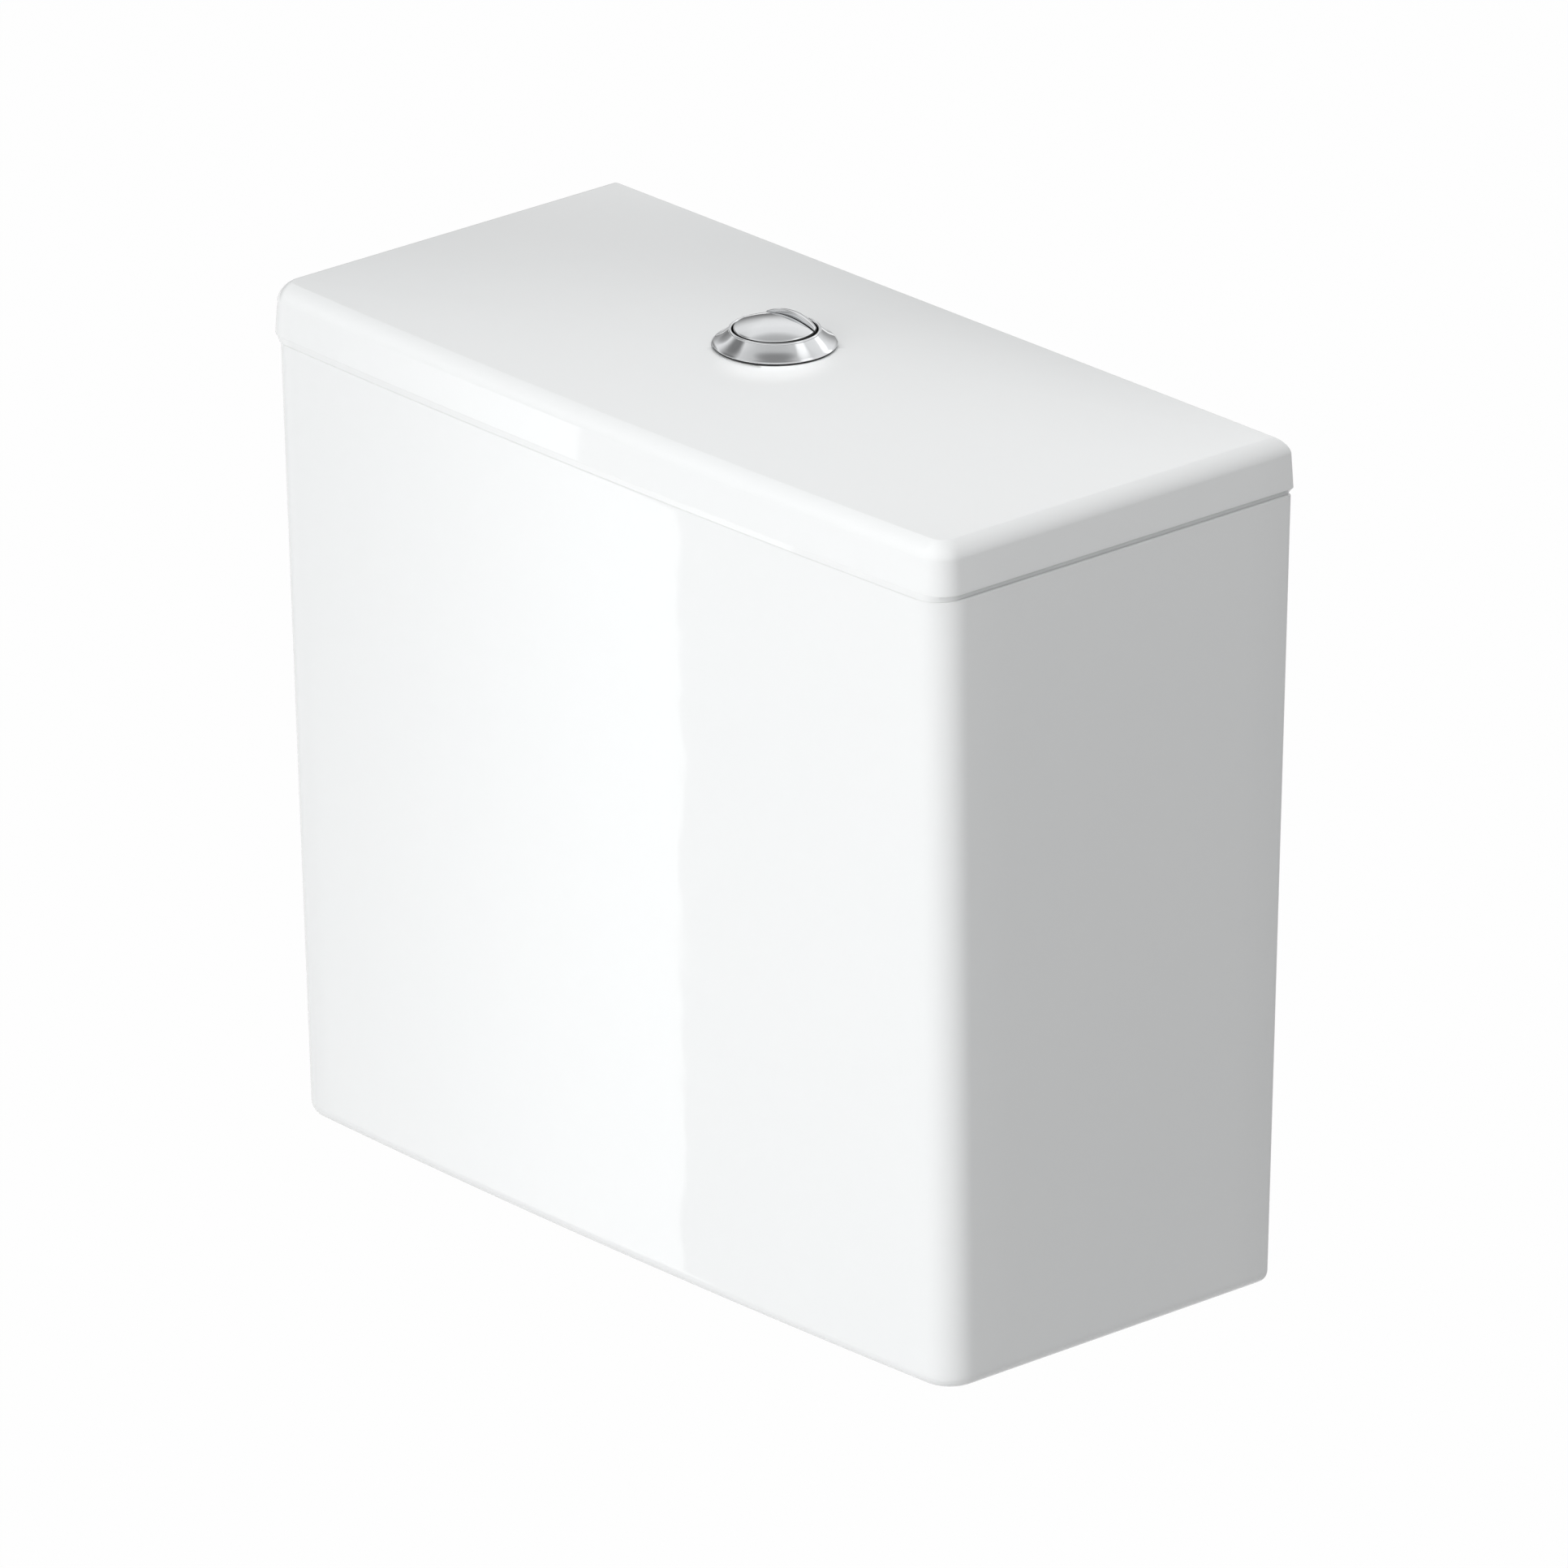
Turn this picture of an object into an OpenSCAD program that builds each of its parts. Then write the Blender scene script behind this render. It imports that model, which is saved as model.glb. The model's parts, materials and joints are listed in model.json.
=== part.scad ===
// Close-coupled toilet cistern: ceramic tank and lid, two-part push button, flush valve and fill valve.
// Millimetres. The origin is midway between the two pan studs, on the ledge of the pan. +Z is up, -Y is the front.

/* [Tank] */
// Width of the underside
tank_w = 382; // [350:1:420]
// Depth of the underside at its middle
tank_d = 171; // [155:1:200]
// Height from the underside to the rim
tank_h = 325.5; // [300:0.5:370]
// How far each side leans out on its way up
side_flare = 4; // [0:0.1:8]
// How far the front leans out on its way up
front_flare = 8.9; // [0:0.1:15]
// How far the back leans out on its way up
back_flare = 4.8; // [0:0.1:10]
// How far the middle of the front stands before its ends
front_bow = 4; // [1:0.1:10]
// Radius of the front corners
front_corner_r = 14.5; // [8:0.5:16]
// Radius of the back corners
back_corner_r = 2.5; // [2:0.5:8]
// Radius of the edge round the underside
base_round = 6; // [3:0.5:8]
// Radius of the outer edge of the rim
rim_round = 0.75; // [0.5:0.25:1.25]
// Thickness of the walls
wall = 9.5; // [8:0.5:12]
// Thickness of the floor
floor_t = 12; // [9:0.5:16]
// Radius between the inner walls and the floor
floor_round = 10; // [6:0.5:14]

/* [Lid] */
// How far the lid stands out past the rim
lid_overhang = 0.7; // [0:0.1:2]
// Height of the shadow gap between the rim and the lid's edge
lid_gap = 2.5; // [1:0.1:3]
// Height of the lid's side
lid_side_h = 20.7; // [16:0.1:28]
// How far each side of the lid leans in on its way up
lid_lean = 1; // [0.2:0.1:2]
// Radius of the lid's upper edge
lid_top_round = 5.5; // [3:0.5:8]
// Height of the crown at the middle of the lid
lid_crown = 5.8; // [2:0.1:8]
// Radius of the lid's front corners
lid_front_r = 11.5; // [8:0.5:14]
// Thickness of the lid's top
lid_t = 9; // [7:0.5:12]
// How far the foot that rests on the rim lies in from the lid's edge
lid_foot_inset = 2; // [2:0.25:4]
// How far the lip reaches down into the tank
lip_h = 6; // [3:0.5:10]
// Thickness of the lip
lip_t = 5; // [3:0.5:8]
// Gap between the lip and the inner wall of the tank
lip_clear = 3; // [1.5:0.5:5]

/* [Push button] */
// Radius of the button hole in the lid
button_hole_r = 20; // [19:0.25:22]
// Radius of the bezel's base
bezel_r = 24.1; // [23:0.1:27]
// Height of the bezel above its gasket
bezel_h = 6.1; // [4:0.1:9]
// Outer radius of the bezel's rim
bezel_rim_r = 17.95; // [17.5:0.05:18.4]
// Radius of the pair of buttons
button_r = 16; // [16:0.05:16.5]
// Distance of the split between the buttons from their middle
split_y = 7.4; // [7:0.1:8]
// Radius of the dome of the large button
dome_r = 49; // [40:1:90]
// How far the dome stands above the bezel's rim
dome_rise = 3.3; // [2.5:0.1:4]
// How far the top of the dome lies behind the middle
dome_y = 1; // [0:0.1:5]
// How far the ridge of the small button stands above the bezel's rim
ridge_rise = 5; // [4:0.1:6]
// Thickness of the gasket under the bezel
bezel_gasket_t = 0.8; // [0.5:0.1:2]
// How far a button goes down
button_travel = 5; // [3:0.25:5]

/* [Flush valve] */
// Radius of the outlet hole in the tank
outlet_hole_r = 32.5; // [31:0.25:36]
// Radius of the threaded tail
tail_r = 30; // [28.5:0.25:30.5]
// Radius of the waterway through the tail
waterway_r = 25.5; // [24.5:0.25:26]
// Radius of the plain end of the tail
spigot_r = 28.4; // [27.5:0.1:28.4]
// How far the tail reaches below the ledge of the pan
tail_drop = 18; // [15:0.5:30]
// Radius of the flange on the tank floor
flange_r = 43; // [42.5:0.5:46]
// How far the overflow's open top lies below the rim
overflow_drop = 70.5; // [65:0.5:90]
// Outer radius of the overflow tube
overflow_r = 18; // [17:0.1:18.2]
// Wall of the overflow tube
overflow_wall = 2; // [1.2:0.1:3]
// Outer radius of the valve cage
cage_r = 40; // [38:0.5:41]
// Outer radius of the bell float on the overflow tube
bell_r = 33; // [28:0.5:33.5]

/* [Levers] */
// Distance from the pin to the push pads
pad_reach = 11; // [10.5:0.1:11.5]
// Distance from the pin to the bar that the full flush lever lifts
full_bar_reach = 20; // [19.5:0.1:22]
// Distance from the pin to the bar that the half flush lever lifts
half_bar_reach = 16; // [15.5:0.1:17]
// Turn of a lever when its button is down
lever_turn = 26.36; // [15:0.1:27]
// Lift of the yoke by the full flush lever
full_lift = 10; // [9.8:0.1:12]
// Lift of the overflow tube by the half flush lever
half_lift = 8.2; // [8:0.1:10]

/* [Fill valve] */
// Distance from the tank's side, at its underside, to the inlet
inlet_inset = 51; // [46:0.5:70]
// Radius of the inlet thread
inlet_r = 10.48; // [9:0.01:11]
// How far the inlet reaches below the ledge of the pan
inlet_drop = 28; // [25:0.5:40]
// Outer radius of the riser
riser_r = 11; // [9.5:0.1:12]
// How far the top of the riser lies below the rim
riser_drop = 76.5; // [75:0.5:95]
// Outer radius of the float cup
float_r = 31; // [26:0.5:33]
// Height of the float cup
float_h = 65; // [40:1:80]
// How far the float rises
float_travel = 15; // [10:0.5:15]

/* [Pan fixings] */
// Distance between the two pan bolts
bolt_spacing = 150; // [130:1:180]
// Radius of the free thread of the bolts
bolt_r = 4; // [3.8:0.1:5]
// How far the bolts reach below the ledge of the pan
bolt_drop = 30; // [25:1:60]
// Height of a hex nut
nut_h = 6.5; // [5:0.1:8]
// Width across the flats of the nuts and bolt heads
nut_flats = 13; // [12:0.5:17]
// Thickness of a steel washer
steel_t = 1.5; // [1:0.1:2.5]
// Thickness of the flat rubber washers under the tank
flat_rubber_t = 3; // [2:0.25:5]
// Thickness of the rubber cones on the tank floor
cone_rubber_t = 4; // [3:0.25:6]

/* [Hidden] */
$fn = 64;
// Room left between pieces that slide past each other
slide_clear = 0.3;
// Room left round pins and guided rods
pin_clear = 0.05;
// How far a cutting solid overshoots the faces that it cuts
over = 1;
// Steps along the bowed front, a front corner, a back corner and an edge round
front_n = 12;
corner_n = 5;
back_n = 3;
round_n = 4;
// Radius left in the corners of an inset outline
least_r = 1;
// Radius of the inner front corners
inner_r = 5;

// Levels of the tank and lid
under_z = nut_h + steel_t + flat_rubber_t;
floor_z = under_z + floor_t;
rim_z = under_z + tank_h;
lid_z = rim_z + lid_gap;
top_z = lid_z + lid_side_h;
crown_z = top_z + lid_crown;

// Push button
seat_sink = 0.4;
seat_r = bezel_r + 0.4;
seat_z = crown_z - seat_sink;
boss_r = 30;
boss_z = crown_z - lid_t - 1.7;
bezel_z = seat_z + bezel_gasket_t;
bezel_edge = 0.6;
bezel_hollow = 0.35;
rim_top_z = bezel_z + bezel_h;
button_clear = 0.6;
bezel_bore = button_r + button_clear;
rim_half = (bezel_rim_r - bezel_bore) / 2;
shank_r = button_hole_r - 0.6;
shank_wall = 2.4;
shank_past = 15;
shank_len = bezel_z - boss_z + shank_past;
cup_depth = 12;
cup_floor_t = 3;
split_gap = 0.6;
hub_gap = 0.3;
button_wall = 1.8;
button_skirt = 2;
ridge_y = split_y + 1;
ridge_r = 5;
ridge_arc = 27;
ridge_half = 14;
rod_r = 2;
full_rod = [5, -10];
half_rod = [-5, 12];
full_boss_r = 4;
half_boss_r = 3.4;
boss_drop = 4;
rod_socket = 2.8;
spring_in_r = rod_r + 0.4;
spring_out_r = 3.3;
lock_nut_h = 8;
lock_nut_r = 25;

// Flush valve
washer_t = 3;
flange_z = floor_z + washer_t;
flange_t = 4;
flange_top = flange_z + flange_t;
lip_rise = 4;
valve_z = flange_top + lip_rise;
lip_out_r = waterway_r + 3;
back_nut_h = 13;
back_nut_r = tail_r + 9.5;
back_nut_lug = 3.4;
gasket_bottom = -8;
gasket_recess_r = back_nut_r + back_nut_lug + 1.3;
gasket_wall = 9.8;
gasket_taper = 8;
spigot_top = gasket_bottom - 1;
overflow_z = rim_z - overflow_drop;
overflow_in_r = overflow_r - overflow_wall;
tube_fit = 0.1;
tube_foot_z = flange_z + 2;
seal_z = valve_z + 0.2;
seal_t = 2.8;
seal_r = lip_out_r + 2.5;
foot_t = 3;
retainer_r = waterway_r - 1.5;
retainer_h = 5.2;
bell_rise = 56;
bell_z = valve_z + bell_rise;
bell_h = 53;
bell_wall = 2;
collar_t = 3.7;
collar_r = overflow_r + 3.5;
yoke_h = 9.7;
yoke_z = overflow_z - collar_t - slide_clear - yoke_h;
head_z = yoke_z - slide_clear - 12;
head_t = 4;
guide_clear = 0.4;
cage_wall = 4;
basket_h = 36;
basket_ribs = 8;
cage_columns = 4;

// Levers
pin_r = 2;
pin_y = (full_rod[1] + half_rod[1]) / 2;
lever_w = 6;
lever_x = full_rod[0];
hub_r = 5;
nose_r = 2;
nose_past = 2;
pad_r = 3.5;
pad_top = 3;
pad_under = 2;
bar_r = 2;
bar_rise = 4.6;
lever_drop = (pad_reach + pad_r) * sin(lever_turn) + pad_under * cos(lever_turn);
lever_z = overflow_z + full_lift + half_lift + lever_drop + 1;
rod_gap = 0.4;
rod_tip_z = lever_z + pad_top + rod_gap;
cheek_x = collar_r + 0.5;
cheek_t = 3;
cheek_half = 7;
hub_end = cheek_x - slide_clear;
stirrup_t = 2.5;
yoke_half = 14;
yoke_plate_t = 3;
yoke_plate_y = 18.8;
yoke_back_y = 25;

// Fill valve
inlet_x = inlet_inset - tank_w / 2;
inlet_hole_r = inlet_r + 1;
inlet_bore_r = 6;
inlet_flange_r = 17;
inlet_flange_t = 3;
inlet_nut_h = 12;
inlet_nut_flats = 32;
relief_w = 1;
riser_top = rim_z - riser_drop;
root_r = riser_r + 2.5;
root_fillet = 6;
root_h = 60;
riser_flange_r = 16;
riser_flange_t = 4;
cap_wall = 3.7;
cap_r = riser_flange_r + slide_clear + cap_wall;
cap_skirt = 10;
cap_h = 22;
chamber_r = 14;
chamber_h = 3;
diaphragm_t = 2.5;
float_top = riser_top - cap_skirt - 5 - float_travel;
float_wall = 2;
stop_ring_r = riser_r + 3;
stop_ring_t = 4;
link_x = 26;
link_r = 1.2;
link_head_r = 2.4;
link_head_t = 1.5;
link_play = 1.6;
arm_pin_x = -12;
arm_pin_r = 1.5;
arm_reach = link_x - arm_pin_x;
arm_hub_r = 4;
arm_half_w = 4.5;
arm_half_t = 2;
arm_tail = 9;
slot_w = 3.4;
slot_in = 2;
slot_out = 6;
ear_t = 2.5;
arm_z = riser_top + cap_h + arm_hub_r + 2;
filter_r = inlet_bore_r - 0.1;
filter_h = 22;

// Pan fixings
bolt_shank_r = bolt_r - 0.4;
bolt_hole_r = bolt_r + 1.5;
bolt_head_h = 5.5;
washer_clear = 0.2;
cone_r = 13;
cone_top_r = 10;
steel_r = 9;
rubber_r = 12;

// Plan outline with a bowed front: half width, front, back and the radii of the front and back corners
function outline(hx, yf, yb, rf, rb) =
    let (
        t = atan(2 * front_bow / hx),
        xt = hx - rf * (1 - sin(t)),
        cy = yf + front_bow * pow(xt / hx, 2) + rf * cos(t)
    )
    concat(
        [for (i = [0:front_n]) let (x = xt * (2 * i / front_n - 1)) [x, yf + front_bow * pow(x / hx, 2)]],
        [for (i = [1:corner_n]) let (a = t - 90 + (90 - t) * i / corner_n) [hx - rf + rf * cos(a), cy + rf * sin(a)]],
        [for (i = [0:back_n]) let (a = 90 * i / back_n) [hx - rb + rb * cos(a), yb - rb + rb * sin(a)]],
        [for (i = [0:back_n]) let (a = 90 + 90 * i / back_n) [rb - hx + rb * cos(a), yb - rb + rb * sin(a)]],
        [for (i = [0:corner_n - 1]) let (a = 180 + (90 - t) * i / corner_n) [rf - hx + rf * cos(a), cy + rf * sin(a)]]
    );

// Share of the tank's height at a level
function rise(z) = (z - under_z) / tank_h;
function tank_half(z) = tank_w / 2 + side_flare * rise(z);
function tank_front(z) = -tank_d / 2 - front_flare * rise(z);
function tank_back(z) = tank_d / 2 + back_flare * rise(z);

// One ring of the tank: its level, its inset from the outer face and the least front corner radius
function tank_ring(z, inset, corner = least_r) = [
    for (p = outline(
        tank_half(z) - inset,
        tank_front(z) + inset,
        tank_back(z) - inset,
        max(front_corner_r - inset, corner),
        max(back_corner_r - inset, least_r)
    )) [p[0], p[1], z]
];

// Lid edge, taken from the rim
lid_half = tank_half(rim_z) + lid_overhang;
lid_front = tank_front(rim_z) - lid_overhang;
lid_back = tank_back(rim_z) + lid_overhang;
crown_inset = lid_lean + lid_top_round;
lid_edge_round = 0.4;
lip_slope = 1.5;

function lid_outline(inset) = outline(
    lid_half - inset,
    lid_front + inset,
    lid_back - inset,
    max(lid_front_r - inset, least_r),
    max(back_corner_r - inset, least_r)
);
function lid_ring(z, inset) = [for (p = lid_outline(inset)) [p[0], p[1], z]];

// Height of the crown over the lid's upper edge: nothing along the four edges, most in the middle
function crown(x, y) =
    let (
        u = x / (lid_half - crown_inset),
        near = lid_front + crown_inset + front_bow * u * u,
        far = lid_back - crown_inset,
        v = (2 * y - near - far) / (far - near)
    )
    lid_crown * max(0, 1 - u * u) * max(0, 1 - v * v);

lid_middle = (lid_front + lid_back) / 2;

// Ring of a crowned face: an inset outline drawn in towards the middle of the lid
function crown_ring(base_z, inset, share) = [
    for (p = lid_outline(inset))
        let (x = share * p[0], y = lid_middle + share * (p[1] - lid_middle)) [x, y, base_z + crown(x, y)]
];
function crown_middle(base_z) = [0, lid_middle, base_z + crown(0, lid_middle)];

// Closed skin over a stack of rings, with a fan to a middle point at each end
module loft(rings, first, last) {
    n = len(rings[0]);
    m = len(rings);
    points = concat([for (r = rings) each r], [first, last]);
    sides = [
        for (i = [0:m - 2]) for (j = [0:n - 1])
            let (a = i * n + j, b = i * n + (j + 1) % n, c = b + n, d = a + n) each [[a, c, b], [a, d, c]]
    ];
    low = [for (j = [0:n - 1]) [m * n, j, (j + 1) % n]];
    high = [for (j = [0:n - 1]) [m * n + 1, (m - 1) * n + (j + 1) % n, (m - 1) * n + j]];
    polyhedron(points, concat(low, sides, high));
}

// Upright tube and rod between two levels
module tube(r_out, r_in, z0, z1) {
    difference() {
        translate([0, 0, z0]) cylinder(r = r_out, h = z1 - z0);
        translate([0, 0, z0 - over]) cylinder(r = r_in, h = z1 - z0 + 2 * over);
    }
}
module post(r, z0, z1) {
    translate([0, 0, z0]) cylinder(r = r, h = z1 - z0);
}
// Upright hexagon by its width across the flats
module hexagon(flats, z0, z1) {
    translate([0, 0, z0]) cylinder(d = flats / cos(30), h = z1 - z0, $fn = 6);
}
// Round bar along X between two places, at a place in the YZ plane
module bar_x(r, x0, x1, y, z) {
    translate([x0, y, z]) rotate([0, 90, 0]) cylinder(r = r, h = x1 - x0);
}
// Copies at both pan bolts
module at_bolts() {
    for (side = [-1, 1]) translate([side * bolt_spacing / 2, 0, 0]) children();
}
module at_inlet() {
    translate([inlet_x, 0, 0]) children();
}

module tank() {
    outer = concat(
        [for (i = [0:round_n]) let (a = 90 * i / round_n)
            tank_ring(under_z + base_round * (1 - cos(a)), base_round * (1 - sin(a)))],
        [for (i = [0:round_n]) let (a = 90 * i / round_n)
            tank_ring(rim_z - rim_round * (1 - sin(a)), rim_round * (1 - cos(a)))]
    );
    inner = concat(
        [tank_ring(rim_z, wall, inner_r)],
        [for (i = [0:round_n]) let (a = 90 * i / round_n)
            tank_ring(floor_z + floor_round * (1 - sin(a)), wall + floor_round * (1 - cos(a)), inner_r)]
    );
    color("white") difference() {
        loft(concat(outer, inner), [0, 0, under_z], [0, 0, floor_z]);
        post(outlet_hole_r, under_z - over, floor_z + over);
        at_bolts() post(bolt_hole_r, under_z - over, floor_z + over);
        at_inlet() post(inlet_hole_r, under_z - over, floor_z + over);
    }
}

module lid() {
    lip_inset = lid_overhang + wall + lip_clear;
    ceiling_z = top_z - lid_t;
    ceiling_inset = lip_inset + lip_t + lip_slope;
    under = concat(
        [for (share = [0.3, 0.65, 1]) crown_ring(ceiling_z, ceiling_inset, share)],
        [lid_ring(rim_z - lip_h, lip_inset + lip_t), lid_ring(rim_z - lip_h, lip_inset)],
        [lid_ring(rim_z, lip_inset), lid_ring(rim_z, lid_foot_inset), lid_ring(lid_z, lid_edge_round)]
    );
    side = concat(
        [lid_ring(lid_z + lid_edge_round, 0)],
        [for (i = [0:round_n]) let (a = 90 * i / round_n)
            lid_ring(top_z - lid_top_round * (1 - sin(a)), lid_lean + lid_top_round * (1 - cos(a)))]
    );
    upper = [for (share = [0.93, 0.82, 0.66, 0.46, 0.24]) crown_ring(top_z, crown_inset, share)];
    color("white") difference() {
        union() {
            loft(concat(under, side, upper), crown_middle(ceiling_z), crown_middle(top_z));
            post(boss_r, boss_z, crown_z - lid_t / 2);
        }
        post(button_hole_r, boss_z - over, crown_z + over);
        post(seat_r, seat_z, crown_z + over);
    }
}

module button_bezel() {
    flare = [
        for (i = [0:6]) let (t = i / 6)
            [bezel_r + (bezel_rim_r - bezel_r) * t,
             bezel_edge + (bezel_h - rim_half - bezel_edge) * t - bezel_hollow * sin(180 * t)]
    ];
    rim = [
        for (i = [1:5]) let (a = 30 * i)
            [bezel_bore + rim_half + rim_half * cos(a), bezel_h - rim_half + rim_half * sin(a)]
    ];
    cup = [
        [bezel_bore, bezel_h - rim_half],
        [bezel_bore, -cup_depth],
        [0, -cup_depth],
        [0, -cup_depth - cup_floor_t],
        [shank_r - shank_wall, -cup_depth - cup_floor_t],
        [shank_r - shank_wall, -shank_len],
        [shank_r, -shank_len],
        [shank_r, 0],
        [bezel_r, 0]
    ];
    color("silver") translate([0, 0, bezel_z]) difference() {
        rotate_extrude() polygon(concat(flare, rim, cup));
        for (rod = [full_rod, half_rod])
            translate(rod) post(rod_r + pin_clear, -cup_depth - cup_floor_t - over, over - cup_depth);
    }
}

module bezel_gasket() {
    color("dimgray") tube(bezel_r - 0.6, shank_r + slide_clear, seat_z, bezel_z);
}

module bezel_lock_nut() {
    color("gainsboro") difference() {
        union() {
            post(lock_nut_r, boss_z - lock_nut_h, boss_z);
            for (i = [0:11]) rotate(30 * i)
                translate([lock_nut_r - 1, -1.5, boss_z - lock_nut_h]) cube([3, 3, lock_nut_h - 2]);
        }
        post(shank_r + pin_clear, boss_z - lock_nut_h - over, boss_z + over);
    }
}

// Upright prism in front of the split, or behind it
module button_side(front, inset, z0, z1) {
    edge = front ? split_y - split_gap / 2 - inset : split_y + split_gap / 2 + inset;
    size = 2 * button_r;
    intersection() {
        post(button_r - inset, z0, z1);
        translate([-button_r, front ? edge - size : edge, z0]) cube([size, size, z1 - z0]);
    }
}
// Socket for a push rod, cut up into the boss of its button
module rod_bore(place) {
    translate(place) post(rod_r + pin_clear, bezel_z - boss_drop - over, bezel_z + rod_socket);
}

module full_flush_button() {
    dome_z = rim_top_z + dome_rise - dome_r;
    skirt_z = bezel_z - button_skirt;
    color("silver") difference() {
        union() {
            difference() {
                intersection() {
                    button_side(true, 0, skirt_z, rim_top_z + dome_rise + over);
                    translate([0, dome_y, dome_z]) sphere(r = dome_r, $fn = 128);
                }
                intersection() {
                    button_side(true, button_wall, skirt_z - over, rim_top_z + dome_rise);
                    translate([0, dome_y, dome_z]) sphere(r = dome_r - button_wall, $fn = 128);
                }
            }
            translate(full_rod) post(full_boss_r, bezel_z - boss_drop, rim_top_z);
        }
        rod_bore(full_rod);
    }
}

module half_flush_button() {
    ridge_z = rim_top_z + ridge_rise - ridge_r;
    skirt_z = bezel_z - button_skirt;
    shoulder_z = rim_top_z - 0.5;
    ridge = [for (x = [-ridge_half:2:ridge_half]) [ridge_r - x * x / (2 * ridge_arc), x]];
    color("silver") difference() {
        union() {
            difference() {
                intersection() {
                    button_side(false, 0, skirt_z, rim_top_z + ridge_rise + over);
                    union() {
                        post(button_r + over, skirt_z - over, shoulder_z);
                        translate([0, ridge_y, ridge_z]) rotate([0, 90, 0])
                            rotate_extrude() polygon(concat([[0, -ridge_half]], ridge, [[0, ridge_half]]));
                    }
                }
                button_side(false, button_wall, skirt_z - over, shoulder_z - button_wall);
            }
            intersection() {
                translate(half_rod) post(half_boss_r, bezel_z - boss_drop, shoulder_z - over);
                button_side(false, 0, bezel_z - boss_drop - over, shoulder_z);
            }
        }
        rod_bore(half_rod);
    }
}

// Push rod with a round tip
module push_rod(place) {
    translate(place) union() {
        post(rod_r, rod_tip_z + rod_r, bezel_z + rod_socket);
        translate([0, 0, rod_tip_z + rod_r]) sphere(r = rod_r);
    }
}
module full_flush_rod() {
    color("gainsboro") push_rod(full_rod);
}
module half_flush_rod() {
    color("gainsboro") push_rod(half_rod);
}

// Space filled by the coils of a return spring between the cup's floor and a button's boss
module button_spring(place) {
    translate(place) tube(spring_out_r, spring_in_r, bezel_z - cup_depth, bezel_z - boss_drop);
}
module full_button_spring() {
    color("gray") button_spring(full_rod);
}
module half_button_spring() {
    color("gray") button_spring(half_rod);
}

module valve_seat() {
    profile = [
        [waterway_r, -tail_drop],
        [spigot_r, -tail_drop],
        [spigot_r, spigot_top],
        [tail_r, spigot_top],
        [tail_r, flange_z],
        [flange_r, flange_z],
        [flange_r, flange_top],
        [lip_out_r + 1, flange_top],
        [lip_out_r, valve_z],
        [waterway_r + 0.7, valve_z],
        [waterway_r, valve_z - 1]
    ];
    color("whitesmoke") rotate_extrude() polygon(profile);
}

module seat_washer() {
    color("dimgray") tube(flange_r - 1, tail_r + slide_clear, floor_z, flange_z);
}

module outlet_back_nut() {
    color("whitesmoke") difference() {
        union() {
            post(back_nut_r, under_z - back_nut_h, under_z);
            for (i = [0:5]) rotate(60 * i)
                translate([0, -4, under_z - back_nut_h]) cube([back_nut_r + back_nut_lug, 8, back_nut_h]);
        }
        post(tail_r + pin_clear, under_z - back_nut_h - over, under_z + over);
    }
}

module coupling_gasket() {
    recess_z = under_z - back_nut_h - slide_clear;
    profile = [
        [tail_r + slide_clear, gasket_bottom],
        [gasket_recess_r + gasket_wall - gasket_taper, gasket_bottom],
        [gasket_recess_r + gasket_wall, under_z - gasket_taper],
        [gasket_recess_r + gasket_wall, under_z],
        [gasket_recess_r, under_z],
        [gasket_recess_r, recess_z],
        [tail_r + slide_clear, recess_z]
    ];
    color("dimgray") rotate_extrude() polygon(profile);
}

module valve_cage() {
    base_t = 6;
    ring_t = 6;
    basket_z = flange_top + base_t;
    middle_z = (basket_z + basket_h + head_z) / 2;
    cage_in_r = cage_r - cage_wall;
    rib_end = head_z - 14;
    color("whitesmoke") union() {
        tube(cage_r + 2, lip_out_r + 3, flange_top, basket_z);
        for (i = [0:basket_ribs - 1]) rotate(360 / basket_ribs * i)
            translate([cage_in_r, -2.5, basket_z - over]) cube([cage_wall, 5, basket_h + 2 * over]);
        tube(cage_r, cage_in_r, basket_z + basket_h, basket_z + basket_h + ring_t);
        for (i = [0:cage_columns - 1]) rotate(45 + 360 / cage_columns * i) {
            translate([cage_in_r, -5, basket_z + basket_h]) cube([cage_wall, 10, head_z - basket_z - basket_h]);
            translate([cage_r - 2, -1.2, basket_z + basket_h]) cube([5, 2.4, rib_end - basket_z - basket_h]);
        }
        tube(cage_r, cage_in_r, middle_z - ring_t / 2, middle_z + ring_t / 2);
        tube(cage_r, cage_in_r - 3, head_z - ring_t, head_z);
    }
}

module valve_head() {
    bush_r = overflow_r + 4.5;
    skirt_in_r = cage_r + 0.6;
    skirt_r = skirt_in_r + 2.5;
    color("whitesmoke") difference() {
        union() {
            post(skirt_r, head_z, head_z + head_t);
            post(bush_r, head_z, yoke_z - slide_clear);
            tube(skirt_r, skirt_in_r, head_z - 9, head_z + over);
            for (side = [0, 1]) mirror([side, 0, 0]) {
                translate([cheek_x, pin_y - cheek_half, head_z])
                    cube([cheek_t, 2 * cheek_half, lever_z - head_z]);
                bar_x(cheek_half, cheek_x, cheek_x + cheek_t, pin_y, lever_z);
                translate([0, pin_y + 1.5, 0]) rotate([90, 0, 0]) linear_extrude(3)
                    polygon([[cheek_x + 1, head_z + 1], [skirt_r - 4, head_z + 1], [cheek_x + 1, lever_z - 10]]);
            }
        }
        post(overflow_r + guide_clear, head_z - over, lever_z);
        bar_x(pin_r + pin_clear, -skirt_r, skirt_r, pin_y, lever_z);
    }
}

module lever_pin() {
    pin_end = cheek_x + cheek_t + 2;
    color("silver") union() {
        bar_x(pin_r, -cheek_x - cheek_t, pin_end, pin_y, lever_z);
        bar_x(pin_r + 1.5, -cheek_x - cheek_t - 1.2, -cheek_x - cheek_t, pin_y, lever_z);
    }
}

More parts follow.
